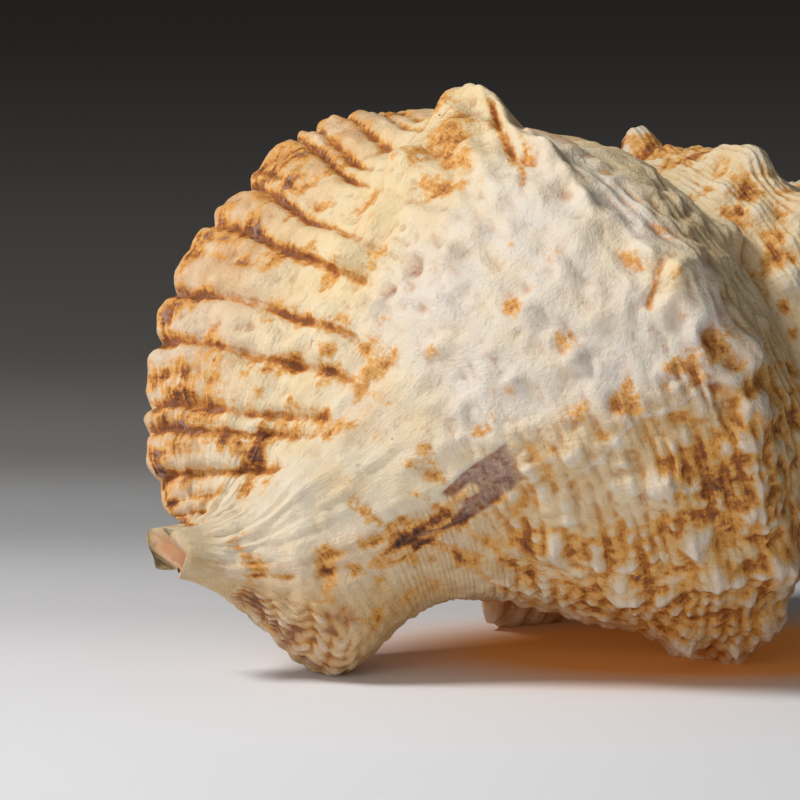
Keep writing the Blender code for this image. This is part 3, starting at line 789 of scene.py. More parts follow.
# Stain lines: turn and place of both ends, strength, width in millimetres
STAIN_LINES = (
    (-0.372, 0.690, -0.405, 0.762, 0.80, 2.0),
    (-0.356, 0.655, -0.380, 0.700, 0.50, 1.4),
    (-0.116, 0.330, -0.135, 0.350, 0.60, 0.7),
    (-0.130, 0.318, -0.156, 0.345, 0.45, 0.6),
    (-0.087, 0.290, -0.146, 0.362, 0.75, 0.8),
    (-0.145, 0.346, -0.170, 0.386, 0.45, 0.8),
    (-0.250, 0.300, -0.268, 0.340, 0.35, 0.6),
    (-0.300, 0.690, -0.420, 0.600, 0.35, 1.2),
    (-0.330, 0.700, -0.470, 0.600, 0.45, 1.0),
    (-0.360, 0.720, -0.520, 0.610, 0.45, 1.0),
)
# Where the rust is heavy or, below zero, thin: turn, place, size in millimetres, strength
RUST_AREAS = (
    (-0.366, 0.361, 12.0, 0.26),
    (-0.406, 0.484, 9.0, 0.20),
    (-0.412, 0.559, 8.0, 0.16),
    (-0.338, 0.278, 9.0, 0.18),
    (-0.454, 0.459, 9.0, 0.16),
    (-0.465, 0.321, 10.0, 0.18),
    (-0.380, 0.228, 14.0, 0.24),
    (-0.429, 0.246, 12.0, 0.20),
    (-0.350, 0.489, 9.0, -0.30),
    (-0.337, 0.414, 6.0, -0.16),
    (-0.380, 0.530, 7.0, -0.12),
    (-0.513, 0.326, 5.0, -0.20),
)
# Grey, purple and warm spots: turn, place, size in millimetres
GREY_SPOTS = ((-0.279, 0.461, 1.6), (-0.241, 0.481, 1.5), (-0.277, 0.539, 1.2))
PURPLE_SPOTS = ((-0.152, 0.596, 2.4), (-0.156, 0.552, 2.2))
WARM_KNOB = (-0.258, 0.295, 6.0)
SPOTS_LIMIT = 0.46
SPIRE_SPOTS_LIMIT = 0.80
RUST_LIMIT = 0.66
WORN_STAIN_LIMIT = 0.70


def blurred(field, cells):
    """The field averaged over a window of cells each way."""
    for axis in (0, 1):
        count = field.shape[axis]
        reach = min(cells, count // 2 - 1)
        width = [(reach + 1, reach) if i == axis else (0, 0) for i in (0, 1)]
        total = np.cumsum(np.pad(field, width, mode="edge"), axis=axis)
        high = np.take(total, np.arange(count) + 2 * reach + 1, axis=axis)
        field = (high - np.take(total, np.arange(count), axis=axis)) / (2 * reach + 1)
    return field


def from_spot(turn, s, spot):
    """Distance from a spot on the skin, in sizes of the spot."""
    return np.hypot((turn - spot[0]) * TURN_LENGTH, (s - spot[1]) * PLACE_LENGTH) / spot[2]


def outer_marks(turn, s, points, height, cells):
    """Share of each colour on the outer skin."""
    turn, s = np.broadcast_arrays(turn, s)
    lumps = partial(surface_lumps, turn, s)
    cavity = blurred(height, cells) - height
    fine_cavity = blurred(height, max(cells // 3, 1)) - height
    past_varix = turn + eased(FLARE_TURNS, s)
    past_rust = turn - eased(RUST_EDGE, s)
    last = youngest(turn)
    cloud = lumpy(points, 9.0, 31)
    wide = lumpy(points, 21.0, 33)
    patch = lumpy(points, 4.0, 37)
    fleck = lumpy(points, 1.8, 41)
    drip = lumps(0.0055, 0.11, 43)

    # Stain in the grooves of the lip and in blotches beside them
    dark, halo = groove_marks(turn, s)[1:]
    near_lip = smooth(-0.16, -0.01, turn) * last
    breaks = smooth(-0.55, 0.35, patch + 0.6 * fleck + 0.3 * cloud)
    across = lumps(0.0034, 0.02, 44)
    stain = dark * (0.28 + 0.80 * near_lip) * (0.40 + 0.60 * breaks) * (0.90 + 0.20 * across)
    blotch = smooth(-0.45, 0.55, 0.8 * patch + 0.6 * drip + 0.3 * cloud)
    stain = stain + 0.42 * halo * (0.10 + 0.90 * blotch) * (0.60 + 0.3 * near_lip)
    stain = stain * last * smooth(0.24, 0.32, s)
    fan = smooth(-0.03, 0.03, past_varix) * last * smooth(0.2, 0.3, s)
    ribs = 0.40 * smooth(0.25, 0.75, drip + 0.5 * patch) * smooth(-0.4, 0.5, cloud)
    ribs = ribs + 0.45 * smooth(0.05, 0.5, cavity) * smooth(-0.5, 0.4, cloud)
    ribs = ribs + 0.30 * smooth(0.10, 0.70, 0.7 * cloud + 0.5 * patch + 0.25 * fleck)
    edge = smooth(-0.016, 0.0, turn) * last
    stain = stain + ribs * fan + 0.26 * edge * smooth(-0.6, 0.5, patch)
    stain = np.minimum(stain, 0.50 + 0.65 * np.clip(dark, 0.0, 1.0))

    # Single spots and lines of stain
    spots = 0.0 * turn
    for spot in STAIN_SPOTS:
        near = bell(from_spot(turn, s, spot)) * (np.abs(turn - spot[0]) < NEAR_TURNS)
        spots = spots + spot[3] * near * (0.65 + 0.8 * fleck + 0.6 * patch).clip(0.0, 1.6)
    stain = stain + np.minimum(spots, np.where(turn < -0.95, SPIRE_SPOTS_LIMIT, SPOTS_LIMIT))
    for row in STAIN_LINES:
        near = bell(off_line(turn, s, row)[0] / row[5])
        stain = stain + row[4] * near * last * (0.8 + 0.6 * patch).clip(0.0, 1.3)

    # Rust in the worn layers: deep in the hollows, in streaks, and heavier in some areas
    older = np.where(turn < -1.0, 1.0, 0.0)
    worn = 1 - smooth(-0.006, 0.008, past_rust - 0.010 * lumps(0.05, 0.03, 29))
    ramp = (1 - smooth(0.22, 0.28, s)) * (1 - smooth(-0.26, -0.14, turn))
    worn = np.maximum(worn, 0.5 * ramp)
    growth = lumps(0.0065, 0.06, 49)
    along = np.maximum(surface_lumps(turn, cord_place(turn, s), 0.06, 0.0095, 47), growth)
    streaks = smooth(0.0, 0.65, along + 0.35 * patch)
    hollow = smooth(-0.10, 0.45, cavity)
    area = 0.0
    for spot in RUST_AREAS:
        near = bell(from_spot(turn, s, spot)) * last
        area = area + spot[3] * near * np.clip(0.8 + 0.7 * patch + 0.4 * fleck, 0.0, 1.8)
    amount = np.clip(0.55 + 0.40 * wide + 0.45 * cloud + 1.2 * area - 0.15 * older, 0.12, 1.15)
    rust = 0.10 + 0.50 * hollow + 0.24 * streaks + 0.22 * patch + 0.16 * fleck
    rust = rust * amount + 0.45 * area - 0.20 * smooth(0.56, 0.70, s) - 0.34 * smooth(0.15, 0.6, -cavity)
    rust = rust * (1 - 0.5 * bell((past_rust + 0.008) / 0.014))
    bands = -0.06 + 0.40 * smooth(-0.05, 0.5, cloud + 0.5 * patch) + 0.34 * hollow + 0.22 * fleck
    rust = np.where(turn < -1.0, bands, rust)
    rust = np.where(s < SHOULDER_PLACE, rust - 0.06 * (1 - older), rust)
    stain = stain + np.clip(rust, 0.0, RUST_LIMIT) * worn * (1 - 0.5 * smooth(0.90, 0.97, s))
    wash = worn * np.clip(0.64 + 0.25 * cloud + 0.9 * area + 0.2 * patch - 0.55 * older, 0.0, 1.0)

    # Dark lines under the scar and along the edge of the rusty layers
    under = bell((turn - eased(SCAR_LOWER, s)) / 0.0035) * between(s, 0.575, 0.592, 0.78, 0.80)
    stain = stain + 0.7 * under * last * smooth(-0.6, 0.1, patch)
    over = between(past_rust, -0.022, -0.008, -0.004, 0.002) * between(s, 0.22, 0.28, 0.50, 0.56)
    stain = stain + 0.26 * over * last * smooth(-0.6, 0.2, patch)
    limited = (worn > 0.05) & (turn > -0.5) & (s < 0.56)
    stain = np.where(limited, np.minimum(stain, WORN_STAIN_LIMIT), stain)

    # Chalk on the worn back, cream on the swelling and on the second knob
    chalk = between(turn, -0.33, -0.30, -0.17, -0.11) * last * between(s, 0.20, 0.27, 0.60, 0.70)
    chalk = np.clip(chalk * (0.75 + 0.35 * cloud + 0.2 * patch), 0, 1)
    peaks = smooth(0.25, 0.75, -cavity) * worn
    warm = bell(past_varix / 0.05) * last * (1 - smooth(0.84, 0.9, s))
    warm = warm * np.clip(0.7 + 0.5 * cloud, 0.0, 1.0)
    knob = bell(from_spot(turn, s, WARM_KNOB)) * last
    warm = np.maximum(warm, knob)
    chalk = chalk * (1 - 0.8 * knob)

    # Orange flecks on the back and the neck, and brown stain on the earlier whorl beside the mouth, seen
    # under the arch, which is partly painted shade
    mottled = np.clip(0.5 * cloud + 0.6 * patch + 0.35 * fleck - 0.22, 0.0, 0.5) * back_share(turn, s)
    stain = stain + 0.36 * mottled * (1 - worn)
    necked = neck_share(turn, s)
    stain = stain + 0.34 * necked * smooth(0.30, 0.85, 0.9 * patch + 0.6 * fleck + 0.2 * growth)
    chalk = np.maximum(chalk, 0.45 * necked * np.clip(0.6 + 0.6 * cloud, 0.0, 1.0))
    # Partly painted shade: the underside of the earlier whorl, under the arch, is darkened beyond its own
    # brown
    under_arch_stain_and_shade = between(turn, -0.95, -0.85, -0.62, -0.56) * between(s, 0.42, 0.5, 0.70, 0.78)
    stain = stain + 0.36 * under_arch_stain_and_shade * smooth(-0.8, 0.3, patch + cloud)

    # Tan near the lip's edge, and the purple-brown folds and scar
    folded = fold_share(turn, s)
    tan = smooth(-0.078, -0.012, turn) * last * (0.85 + 0.35 * patch)
    tan = np.maximum(tan, folded * np.clip(0.65 + 0.5 * patch, 0.0, 1.0))
    purple = folded * smooth(-0.30, 0.60, 0.9 * patch + 1.3 * cavity + 0.6 * cloud)
    purple = np.maximum(purple, 0.95 * scar_share(turn, s) * last)
    stain = stain + folded * np.clip(0.08 + 0.6 * cavity + 0.2 * patch + 0.1 * fleck, 0.0, 0.50)
    for spot in PURPLE_SPOTS:
        near = bell(from_spot(turn, s, spot)) * last
        purple = np.maximum(purple, near * (0.35 + 0.8 * fleck))

    # Pale broken edges of the flaked layer and the scar, and grey spots
    flake = bell(past_flake(turn, s) / 0.0013) * last * between(s, *FLAKE_PLACES)
    rim = bell((turn - eased(SCAR_UPPER, s) - 0.001) / 0.0016) * last
    pale = np.maximum(0.8 * flake, rim * between(s, 0.575, 0.59, 0.66, 0.70))
    grey = sum(bell(from_spot(turn, s, spot)) for spot in GREY_SPOTS) * last
    return {
        "stain": np.clip(stain, 0, 1.15),
        "rust": worn,
        "chalk": np.maximum(chalk, 0.60 * peaks),
        "warm": warm,
        "wash": wash,
        "pale": pale,
        "tan": np.clip(tan, 0, 1),
        "purple": np.clip(purple, 0, 1),
        "grey": np.clip(grey, 0, 1),
        "hollow": np.clip(0.5 + fine_cavity, 0, 1),
        "inside": 0.0 * turn,
    }


# Outer skin of the whorls: one grid for each whorl, wrapped round the growth form. Older whorls
# are smaller, so they have fewer faces, and each is joined to its neighbours along the seam.
FINENESS = 1.0
FACING_START = -0.66
FACING_COLUMNS = int(392 * FINENESS)
FAR_COLUMNS = int(120 * FINENESS)
ROWS = int(288 * FINENESS)
SPIRE_HALVINGS = (1, 1, 2, 2, 4, 4, 4)
CAVITY_CELLS = 6 * FINENESS


def whorl_turns():
    """Turns of the columns, from -1 to 0, closer together on the side that faces the viewer."""
    far = np.linspace(-1.0, FACING_START, FAR_COLUMNS + 1)[:-1]
    facing = np.linspace(FACING_START, 0.0, FACING_COLUMNS + 1)
    return np.concatenate([far, facing])


def row_places():
    """Places of the rows, with one on the seam and one where the mouth ends."""
    seam_row = int(ROWS * SEAM_PLACE / 4) * 4
    mouth_row = round(ROWS * MOUTH_END_PLACE)
    upper = np.linspace(0.0, SEAM_PLACE, seam_row + 1)
    middle = np.linspace(SEAM_PLACE, MOUTH_END_PLACE, mouth_row - seam_row + 1)
    lower = np.linspace(MOUTH_END_PLACE, 1.0, ROWS - mouth_row + 1)
    return np.concatenate([upper, middle[1:], lower[1:]]), seam_row, mouth_row


TURNS = whorl_turns()
PLACES, SEAM_ROW, MOUTH_ROW = row_places()
LAID_DOWN = np.array(resting_matrix())


def new_grid(name, points, marks, turns, places):
    """A grid primitive with its vertices moved to the points, its marks and its own UV map."""
    rows, columns = points.shape[:2]
    bpy.ops.object.select_all(action="DESELECT")
    bpy.ops.mesh.primitive_grid_add(x_subdivisions=columns - 1, y_subdivisions=rows - 1, size=1.0)
    grid = bpy.context.object
    grid.name = name
    flat = np.concatenate([points.reshape(-1, 3), np.ones((rows * columns, 1))], 1) @ LAID_DOWN.T
    grid.data.vertices.foreach_set("co", np.ascontiguousarray(flat[:, :3]).ravel())
    for mark, share in marks.items():
        layer = grid.data.attributes.new(mark, "FLOAT", "POINT")
        layer.data.foreach_set("value", np.broadcast_to(share, (rows, columns)).astype(np.float32).ravel())
    uv = np.stack(np.broadcast_arrays(turns, places), -1).reshape(-1, 2)
    corners = np.empty(len(grid.data.loops), int)
    grid.data.loops.foreach_get("vertex_index", corners)
    grid.data.uv_layers[0].data.foreach_set("uv", uv[corners].astype(np.float32).ravel())
    return grid


def snapped_pairs(line, every):
    """Points of a line drawn together, so that each falls on one of the coarser line's points."""
    return line[np.arange(len(line)) // every * every]


pieces = []
outer, outer_height = shaped_skin(lip_edge_turn(TURNS[None, :], PLACES[:, None]), PLACES[:, None])
whorl_points = [outer]
whorl_heights = [outer_height]
for whorl, halving in enumerate(SPIRE_HALVINGS[1:], start=1):
    turns = TURNS[None, ::halving] - whorl
    points, height = shaped_skin(turns, PLACES[: SEAM_ROW + 1 : halving, None])
    whorl_points.append(points)
    whorl_heights.append(height)
for whorl in range(len(whorl_points) - 1):
    young, old = whorl_points[whorl], whorl_points[whorl + 1]
    every = SPIRE_HALVINGS[whorl + 1] // SPIRE_HALVINGS[whorl]
    young[0] = snapped_pairs(young[0], every)
    rows = (len(old) - 1) * every + 1
    young[:rows, 0] = snapped_pairs(young[:rows, 0], every)
    old[-1] = young[0, ::every]
    old[:-1, -1] = young[: rows - 1 : every, 0]
outer[0, -1] = outer[SEAM_ROW, 0]
outer[MOUTH_ROW:, -1] = outer[MOUTH_ROW:, 0]
for whorl, points in enumerate(whorl_points):
    halving = SPIRE_HALVINGS[whorl]
    turns = TURNS[None, ::halving] - whorl
    places = PLACES[: SEAM_ROW + 1 : halving, None] if whorl else PLACES[:, None]
    marks = outer_marks(turns, places, points, whorl_heights[whorl], max(int(CAVITY_CELLS / halving), 2))
    pieces.append(new_grid("whorl", points, marks, turns, cord_place(turns, places)))

# Mouth and hollow: the rim of the lip, the smooth inner side of the last whorl's wall and the
# whorl before it under a thin glaze, running back into the shell. The lime is smooth and peach.
WALL = 3.4
LIP_THICKNESS = 2.2
CALLUS = 1.2
CALLUS_LIFT = 0.035
MOUTH_DEPTH_TURNS = 1.30
HOLLOW_BEND_PLACE = 0.68
HOLLOW_END_OUTER = 0.775
HOLLOW_END_INNER = 0.805
HOLLOW_RINGS = int(70 * FINENESS)
RIM_SHARES = (0.2, 0.5, 0.8)
RIM_BULGE = 0.45
RIM_DEPTH = 0.003
RIM_CALLUS_DEPTH = 0.004
RIM_RING_DEPTHS = (0.0, 0.001, 0.002, 0.003)
FIRST_DEPTHS = (0.006, 0.012, 0.02, 0.03, 0.045)
EVEN_DEPTHS_START = 0.065
EDGE_STEP = 0.004


def drawn_in(depth, s, end):
    """Places moved up along the profile, as the hollow ends above the canal further back."""
    end = MOUTH_END_PLACE + (end - MOUTH_END_PLACE) * smooth(0.0, 0.10, depth)
    share = (end - HOLLOW_BEND_PLACE) / (MOUTH_END_PLACE - HOLLOW_BEND_PLACE)
    moved = HOLLOW_BEND_PLACE + (s - HOLLOW_BEND_PLACE) * share
    return np.where(s > HOLLOW_BEND_PLACE, moved, s)


def hollow_bend(depth, s):
    """The canal's bend, which the hollow follows less and less as it runs back."""
    bend = eased(CANAL_BEND, s) * (1 - smooth(0.15, 0.45, depth))
    return np.stack([0 * bend, bend, 0 * bend], -1)


def inner_lip(depth, s):
    """The whorl before, seen inside the mouth, under a thin glaze of callus."""
    lift = CALLUS_LIFT * smooth(0.0, 0.04, depth)
    share = (MOUTH_END_PLACE - s) / (MOUTH_END_PLACE - SEAM_PLACE)
    s = MOUTH_END_PLACE - share * (MOUTH_END_PLACE - SEAM_PLACE - lift)
    s = drawn_in(depth, s, HOLLOW_END_INNER)
    taper = between(s, SEAM_PLACE, SEAM_PLACE + 0.05, 0.85, MOUTH_END_PLACE)
    callus = CALLUS * taper * smooth(0.0, 0.006, depth)
    body = bare_skin(-1.0, s, 1.0, 0.0) + skin_normal(-1.0, s, 1.0, 0.0) * callus[..., None]
    return grown_back(body, depth) + hollow_bend(depth, s)


def mouth_wall(depth, s):
    """Inner side of the last whorl's wall, a share of a turn behind the lip."""
    rows = s
    s = drawn_in(depth, s, HOLLOW_END_OUTER)
    taper = between(s, 0.0, 0.05, 0.84, MOUTH_END_PLACE)
    wall = LIP_THICKNESS + (WALL - LIP_THICKNESS) * smooth(0.0, 0.1, depth)
    at = lip_edge_turn(-depth + 0 * s, s)
    ribs = rib_relief(at, s) * (1 - smooth(0.03, 0.10, depth))
    here = bare_skin(at, s) + skin_normal(at, s) * (ribs - wall * taper)[..., None]
    plain = bare_skin(0.0, s, 0.0, 0.0) - skin_normal(0.0, s, 0.0, 0.0) * (WALL * taper)[..., None]
    swept = grown_back(plain, depth) + hollow_bend(depth, s)
    low = smooth(0.62, 0.88, s) * smooth(0.0, 0.12, depth)
    low = np.maximum(low, smooth(0.14, 0.24, depth))[..., None]
    wall_points = here * (1 - low) + swept * low
    if depth > 0:
        corner = inner_lip(depth, np.array([SEAM_PLACE]))
        near_seam = smooth(0.0, 0.07, rows)[..., None]
        wall_points = corner * (1 - near_seam) + wall_points * near_seam
        end = inner_lip(depth, np.array([MOUTH_END_PLACE]))
        near_end = smooth(0.86, MOUTH_END_PLACE, rows)[..., None]
        wall_points = wall_points * (1 - near_end) + end * near_end
    return wall_points


lip_places = PLACES[: MOUTH_ROW + 1]
body_places = PLACES[SEAM_ROW + 1 : MOUTH_ROW][::-1]
edge = outer[: MOUTH_ROW + 1, -1]
edge_turns = lip_edge_turn(0 * lip_places, lip_places)
forward = bare_skin(edge_turns, lip_places) - bare_skin(edge_turns - EDGE_STEP, lip_places)
forward = forward / np.linalg.norm(forward, axis=-1, keepdims=True)
inner = mouth_wall(0.0, lip_places)
thickness = np.linalg.norm(inner - edge, axis=-1, keepdims=True)
rings = [np.vstack([edge, outer[SEAM_ROW + 1 : MOUTH_ROW, 0][::-1]])]
for share in RIM_SHARES:
    bulge = math.sin(math.pi * share) * RIM_BULGE
    rounded = edge + (inner - edge) * share + forward * thickness * bulge
    rounded[0] = inner_lip(RIM_DEPTH * share, np.array([SEAM_PLACE]))[0]
    rounded[-1] = inner_lip(RIM_DEPTH * share, np.array([MOUTH_END_PLACE]))[0]
    rings.append(np.vstack([rounded, inner_lip(RIM_CALLUS_DEPTH * share, body_places)]))
even_depths = np.linspace(EVEN_DEPTHS_START, MOUTH_DEPTH_TURNS, HOLLOW_RINGS)
depths = np.concatenate([FIRST_DEPTHS, even_depths])
for depth in depths:
    rings.append(np.vstack([mouth_wall(depth, lip_places), inner_lip(depth, body_places)]))
hollow = np.stack(rings)
hollow = np.concatenate([hollow, hollow[:, :1]], 1)
ring_depths = np.concatenate([RIM_RING_DEPTHS, depths])[:, None]
around = np.linspace(0.0, 1.0, hollow.shape[1])[None, :]
on_lip = (np.arange(hollow.shape[1]) <= MOUTH_ROW)[None, :]
hollow_marks = {
    "rust": 0.15 * (1 - smooth(0.0, 0.01, ring_depths)),
    "tan": (1 - smooth(0.0, 0.02, ring_depths)) * on_lip,
    "hollow": 0.5 + 0.0 * ring_depths,
    "inside": smooth(0.0, 0.004, ring_depths),
}
for name in ("stain", "chalk", "warm", "wash", "pale", "purple", "grey"):
    hollow_marks[name] = 0.0 * ring_depths
pieces.append(new_grid("hollow", hollow, hollow_marks, -ring_depths, around))

# The whole shell is one closed body: the grids grow together, the apex, the end of the hollow and
# the end of the canal are closed, and the canal is bored and slit as the animal left it open.
FACE_LIMIT = 186000
CANAL_BORE_END = 3.5
CANAL_BORE_TOP = 2.2
CANAL_BORE_TOP_HEIGHT = -80.0
CANAL_SLIT = 2.4
CANAL_SLIT_REACH = 7.5
CANAL_SLIT_AZIMUTH = 84.0
CANAL_SLIT_TOP_HEIGHT = -88.0
CUTTER_REACH = 2.0
BORE_SIDES = 48
BORE_RINGS = 12
BORE_MARGIN = 0.35
MERGE_DISTANCE = 1e-7

bpy.ops.object.select_all(action="DESELECT")
for piece in pieces:
    piece.select_set(True)
bpy.context.view_layer.objects.active = pieces[0]
bpy.ops.object.join()
shell = bpy.context.object
shell.name = "shell_skin"
shell.data.name = "shell_skin"
bpy.ops.object.mode_set(mode="EDIT")
bpy.ops.mesh.select_all(action="SELECT")
bpy.ops.mesh.remove_doubles(threshold=MERGE_DISTANCE)
bpy.ops.mesh.dissolve_degenerate(threshold=MERGE_DISTANCE)
bpy.ops.mesh.select_all(action="SELECT")
bpy.ops.mesh.fill_holes(sides=0)
bpy.ops.mesh.normals_make_consistent(inside=False)
bpy.ops.mesh.select_all(action="DESELECT")
bpy.ops.object.mode_set(mode="OBJECT")
thin = shell.modifiers.new("fewer faces", "DECIMATE")
thin.ratio = FACE_LIMIT * FINENESS**1.5 / sum(len(face.vertices) - 2 for face in shell.data.polygons)
bpy.ops.object.modifier_apply(modifier=thin.name)


def canal_bend_at(height):
    """How far the canal has bent aside at a height."""
    heights, bends = [], []
    for place, _, place_height, _ in PROFILE:
        heights.append(place_height)
        bends.append(float(eased(CANAL_BEND, place)))
    return np.interp(height, heights[::-1], bends[::-1])


def canal_middle(height):
    """Point in the middle of the canal at a height."""
    return np.array([0.0, canal_bend_at(height), height])


def mark_inside(cutter):
    """The cut faces take the cutter's marks, those of the smooth inside."""
    for mark in hollow_marks:
        layer = cutter.data.attributes.new(mark, "FLOAT", "POINT")
        value = 1.0 if mark == "inside" else 0.0
        layer.data.foreach_set("value", np.full(len(cutter.data.vertices), value, np.float32))
    cutter.data.uv_layers[0].name = shell.data.uv_layers[0].name


def cut_with(cutter):
    """Take the cutter's form out of the shell."""
    cutter.hide_render = True
    cutter.display_type = "WIRE"
    bpy.ops.object.select_all(action="DESELECT")
    bpy.context.view_layer.objects.active = shell
    cut = shell.modifiers.new("cut", "BOOLEAN")
    cut.operation = "DIFFERENCE"
    cut.solver = "EXACT"
    cut.object = cutter
    bpy.ops.object.modifier_apply(modifier=cut.name)
    bpy.data.objects.remove(cutter, do_unlink=True)


low_end = PROFILE[-1][2] - CUTTER_REACH
bpy.ops.object.select_all(action="DESELECT")
bpy.ops.mesh.primitive_cylinder_add(vertices=BORE_SIDES, radius=1.0, depth=1.0, end_fill_type="NGON")
bore = bpy.context.object
bpy.ops.object.mode_set(mode="EDIT")
bpy.ops.mesh.select_all(action="SELECT")
for ring in range(1, BORE_RINGS):
    bpy.ops.mesh.bisect(plane_co=(0.0, 0.0, ring / BORE_RINGS - 0.5), plane_no=(0.0, 0.0, 1.0))
    bpy.ops.mesh.select_all(action="SELECT")
bpy.ops.object.mode_set(mode="OBJECT")
for vert in bore.data.vertices:
    share = vert.co.z + 0.5
    height = low_end + (CANAL_BORE_TOP_HEIGHT - low_end) * share
    radius = CANAL_BORE_END + (CANAL_BORE_TOP - CANAL_BORE_END) * share
    at = canal_middle(height) + radius * np.array([vert.co.x, vert.co.y, 0.0])
    vert.co = LAID_DOWN[:3, :3] @ at + LAID_DOWN[:3, 3]
mark_inside(bore)
cut_with(bore)

length = CANAL_SLIT_TOP_HEIGHT - low_end
bend = canal_middle(MOUTH_END[2])[1]
slit_matrix = resting_matrix() @ Matrix.Translation((0.0, bend, 0.0))
slit_matrix = slit_matrix @ Matrix.Rotation(-math.radians(CANAL_SLIT_AZIMUTH), 4, "Z")
bpy.ops.object.select_all(action="DESELECT")
bpy.ops.mesh.primitive_cube_add(size=1.0)
slit = bpy.context.object
for vert in slit.data.vertices:
    across = CANAL_SLIT_REACH * (vert.co.x + 0.5)
    vert.co = slit_matrix @ Vector((across, CANAL_SLIT * vert.co.y, low_end + length * (vert.co.z + 0.5)))
mark_inside(slit)
cut_with(slit)

coordinates = np.empty(len(shell.data.vertices) * 3)
shell.data.vertices.foreach_get("co", coordinates)
coordinates = coordinates.reshape(-1, 3)
standing = (coordinates - LAID_DOWN[:3, 3]) @ np.linalg.inv(LAID_DOWN[:3, :3]).T
off_middle = np.hypot(standing[:, 0], standing[:, 1] - canal_bend_at(standing[:, 2]))
bored = (off_middle < CANAL_BORE_END + BORE_MARGIN) & (standing[:, 2] < CANAL_BORE_TOP_HEIGHT)
inside = np.empty(len(coordinates), np.float32)
shell.data.attributes["inside"].data.foreach_get("value", inside)
inside[bored] = 1.0
shell.data.attributes["inside"].data.foreach_set("value", inside)
coordinates[:, 2] = np.maximum(coordinates[:, 2], 0.0)
shell.data.vertices.foreach_set("co", coordinates.ravel())
bpy.ops.object.select_all(action="DESELECT")
shell.select_set(True)
bpy.context.view_layer.objects.active = shell
bpy.ops.object.shade_smooth()

# Finish of the shell: dry lime, chalky where it is worn, ochre to dark brown where stain has run
# into grooves and worn layers, and smooth and peach-coloured inside the mouth.
CREAM = (0.77, 0.60, 0.36)
PALE_CREAM = (0.79, 0.68, 0.48)
TAN = (0.58, 0.33, 0.165)
YELLOW = (0.80, 0.66, 0.38)
RUSTY_CREAM = (0.56, 0.31, 0.095)
CHALK = (0.71, 0.665, 0.62)
OCHRE = (0.70, 0.34, 0.065)
RUST = (0.36, 0.11, 0.014)
BROWN = (0.115, 0.034, 0.011)
BLACK_BROWN = (0.026, 0.012, 0.008)
PURPLE = (0.19, 0.085, 0.060)
PURPLE_GREY = (0.36, 0.22, 0.18)
SCAR_GREY = (0.42, 0.38, 0.33)
PEACH = (0.78, 0.42, 0.22)
PALE_PEACH = (0.82, 0.60, 0.40)
PIT_SCALE = 240.0
THREAD_SCALE = 23.0
GRAIN_DEPTH = 0.0007
# Tones of the stain as it gets darker: where each starts, where it is full, how much of it shows
STAIN_TONES = (
    (0.02, 0.44, 0.92, OCHRE),
    (0.36, 0.78, 1.0, RUST),
    (0.66, 0.96, 1.0, BROWN),
    (0.95, 1.20, 1.0, BLACK_BROWN),
)

finish = bpy.data.materials.new("shell lime")
finish.use_nodes = True
nodes = finish.node_tree.nodes
links = finish.node_tree.links
surface = nodes["Principled BSDF"]


def wired(socket, value):
    """Give a socket a constant, a colour or another node's result."""
    if isinstance(value, bpy.types.NodeSocket):
        links.new(value, socket)
    elif isinstance(value, tuple):
        socket.default_value = (*value, 1.0)
    else:
        socket.default_value = value


def mark(name):
    """A share kept on the mesh."""
    node = nodes.new("ShaderNodeAttribute")
    node.attribute_name = name
    return node.outputs["Fac"]


def maths(operation, first, second):
    node = nodes.new("ShaderNodeMath")
    node.operation = operation
    wired(node.inputs[0], first)
    wired(node.inputs[1], second)
    return node.outputs[0]


def times(first, second):
    """The product of two values."""
    return maths("MULTIPLY", first, second)


def added(total, *more):
    """The sum of all the values."""
    for value in more:
        total = maths("ADD", total, value)
    return total


def ranged(value, low, high, to_low=0.0, to_high=1.0, curve="SMOOTHSTEP"):
    """The value's way from low to high, turned into the way from to_low to to_high."""
    node = nodes.new("ShaderNodeMapRange")
    node.interpolation_type = curve
    for socket, number in (("From Min", low), ("From Max", high), ("To Min", to_low), ("To Max", to_high)):
        wired(node.inputs[socket], number)
    wired(node.inputs["Value"], value)
    return node.outputs["Result"]


def mixed(share, first, second):
    """The first colour, and the second one over it by a share."""
    node = nodes.new("ShaderNodeMix")
    node.data_type = "RGBA"
    wired(node.inputs[0], share)
    wired(node.inputs[6], first)
    wired(node.inputs[7], second)
    return node.outputs[2]


place = nodes.new("ShaderNodeTexCoord").outputs["Object"]
skin_map = nodes.new("ShaderNodeUVMap")
skin_map.uv_map = shell.data.uv_layers[0].name


def noise(scale, detail=4.0, rough=0.55, vector=place):
    node = nodes.new("ShaderNodeTexNoise")
    wired(node.inputs["Vector"], vector)
    node.inputs["Scale"].default_value = scale
    node.inputs["Detail"].default_value = detail
    node.inputs["Roughness"].default_value = rough
    return node.outputs["Fac"]


def stretched(turn_scale, place_scale):
    """The skin's own map, stretched so that a pattern runs along or across the spiral."""
    node = nodes.new("ShaderNodeMapping")
    wired(node.inputs["Vector"], skin_map.outputs["UV"])
    node.inputs["Scale"].default_value = (turn_scale, place_scale, 1.0)
    return node.outputs["Vector"]


cloud = noise(130.0, 5.0)
patch = noise(420.0, 6.0, 0.62)
fleck = noise(1100.0, 4.0, 0.6)
grain = noise(2600.0, 3.0)
across = noise(1.0, 4.0, 0.6, stretched(420.0, 26.0))
along = noise(1.0, 4.0, 0.6, stretched(22.0, 260.0))


def coloured(tone, name, low, high, thin, full, colour):
    """The tone with a mark's colour over it, from thin to full as the patches go from low to high."""
    return mixed(times(mark(name), ranged(patch, low, high, thin, full)), tone, colour)


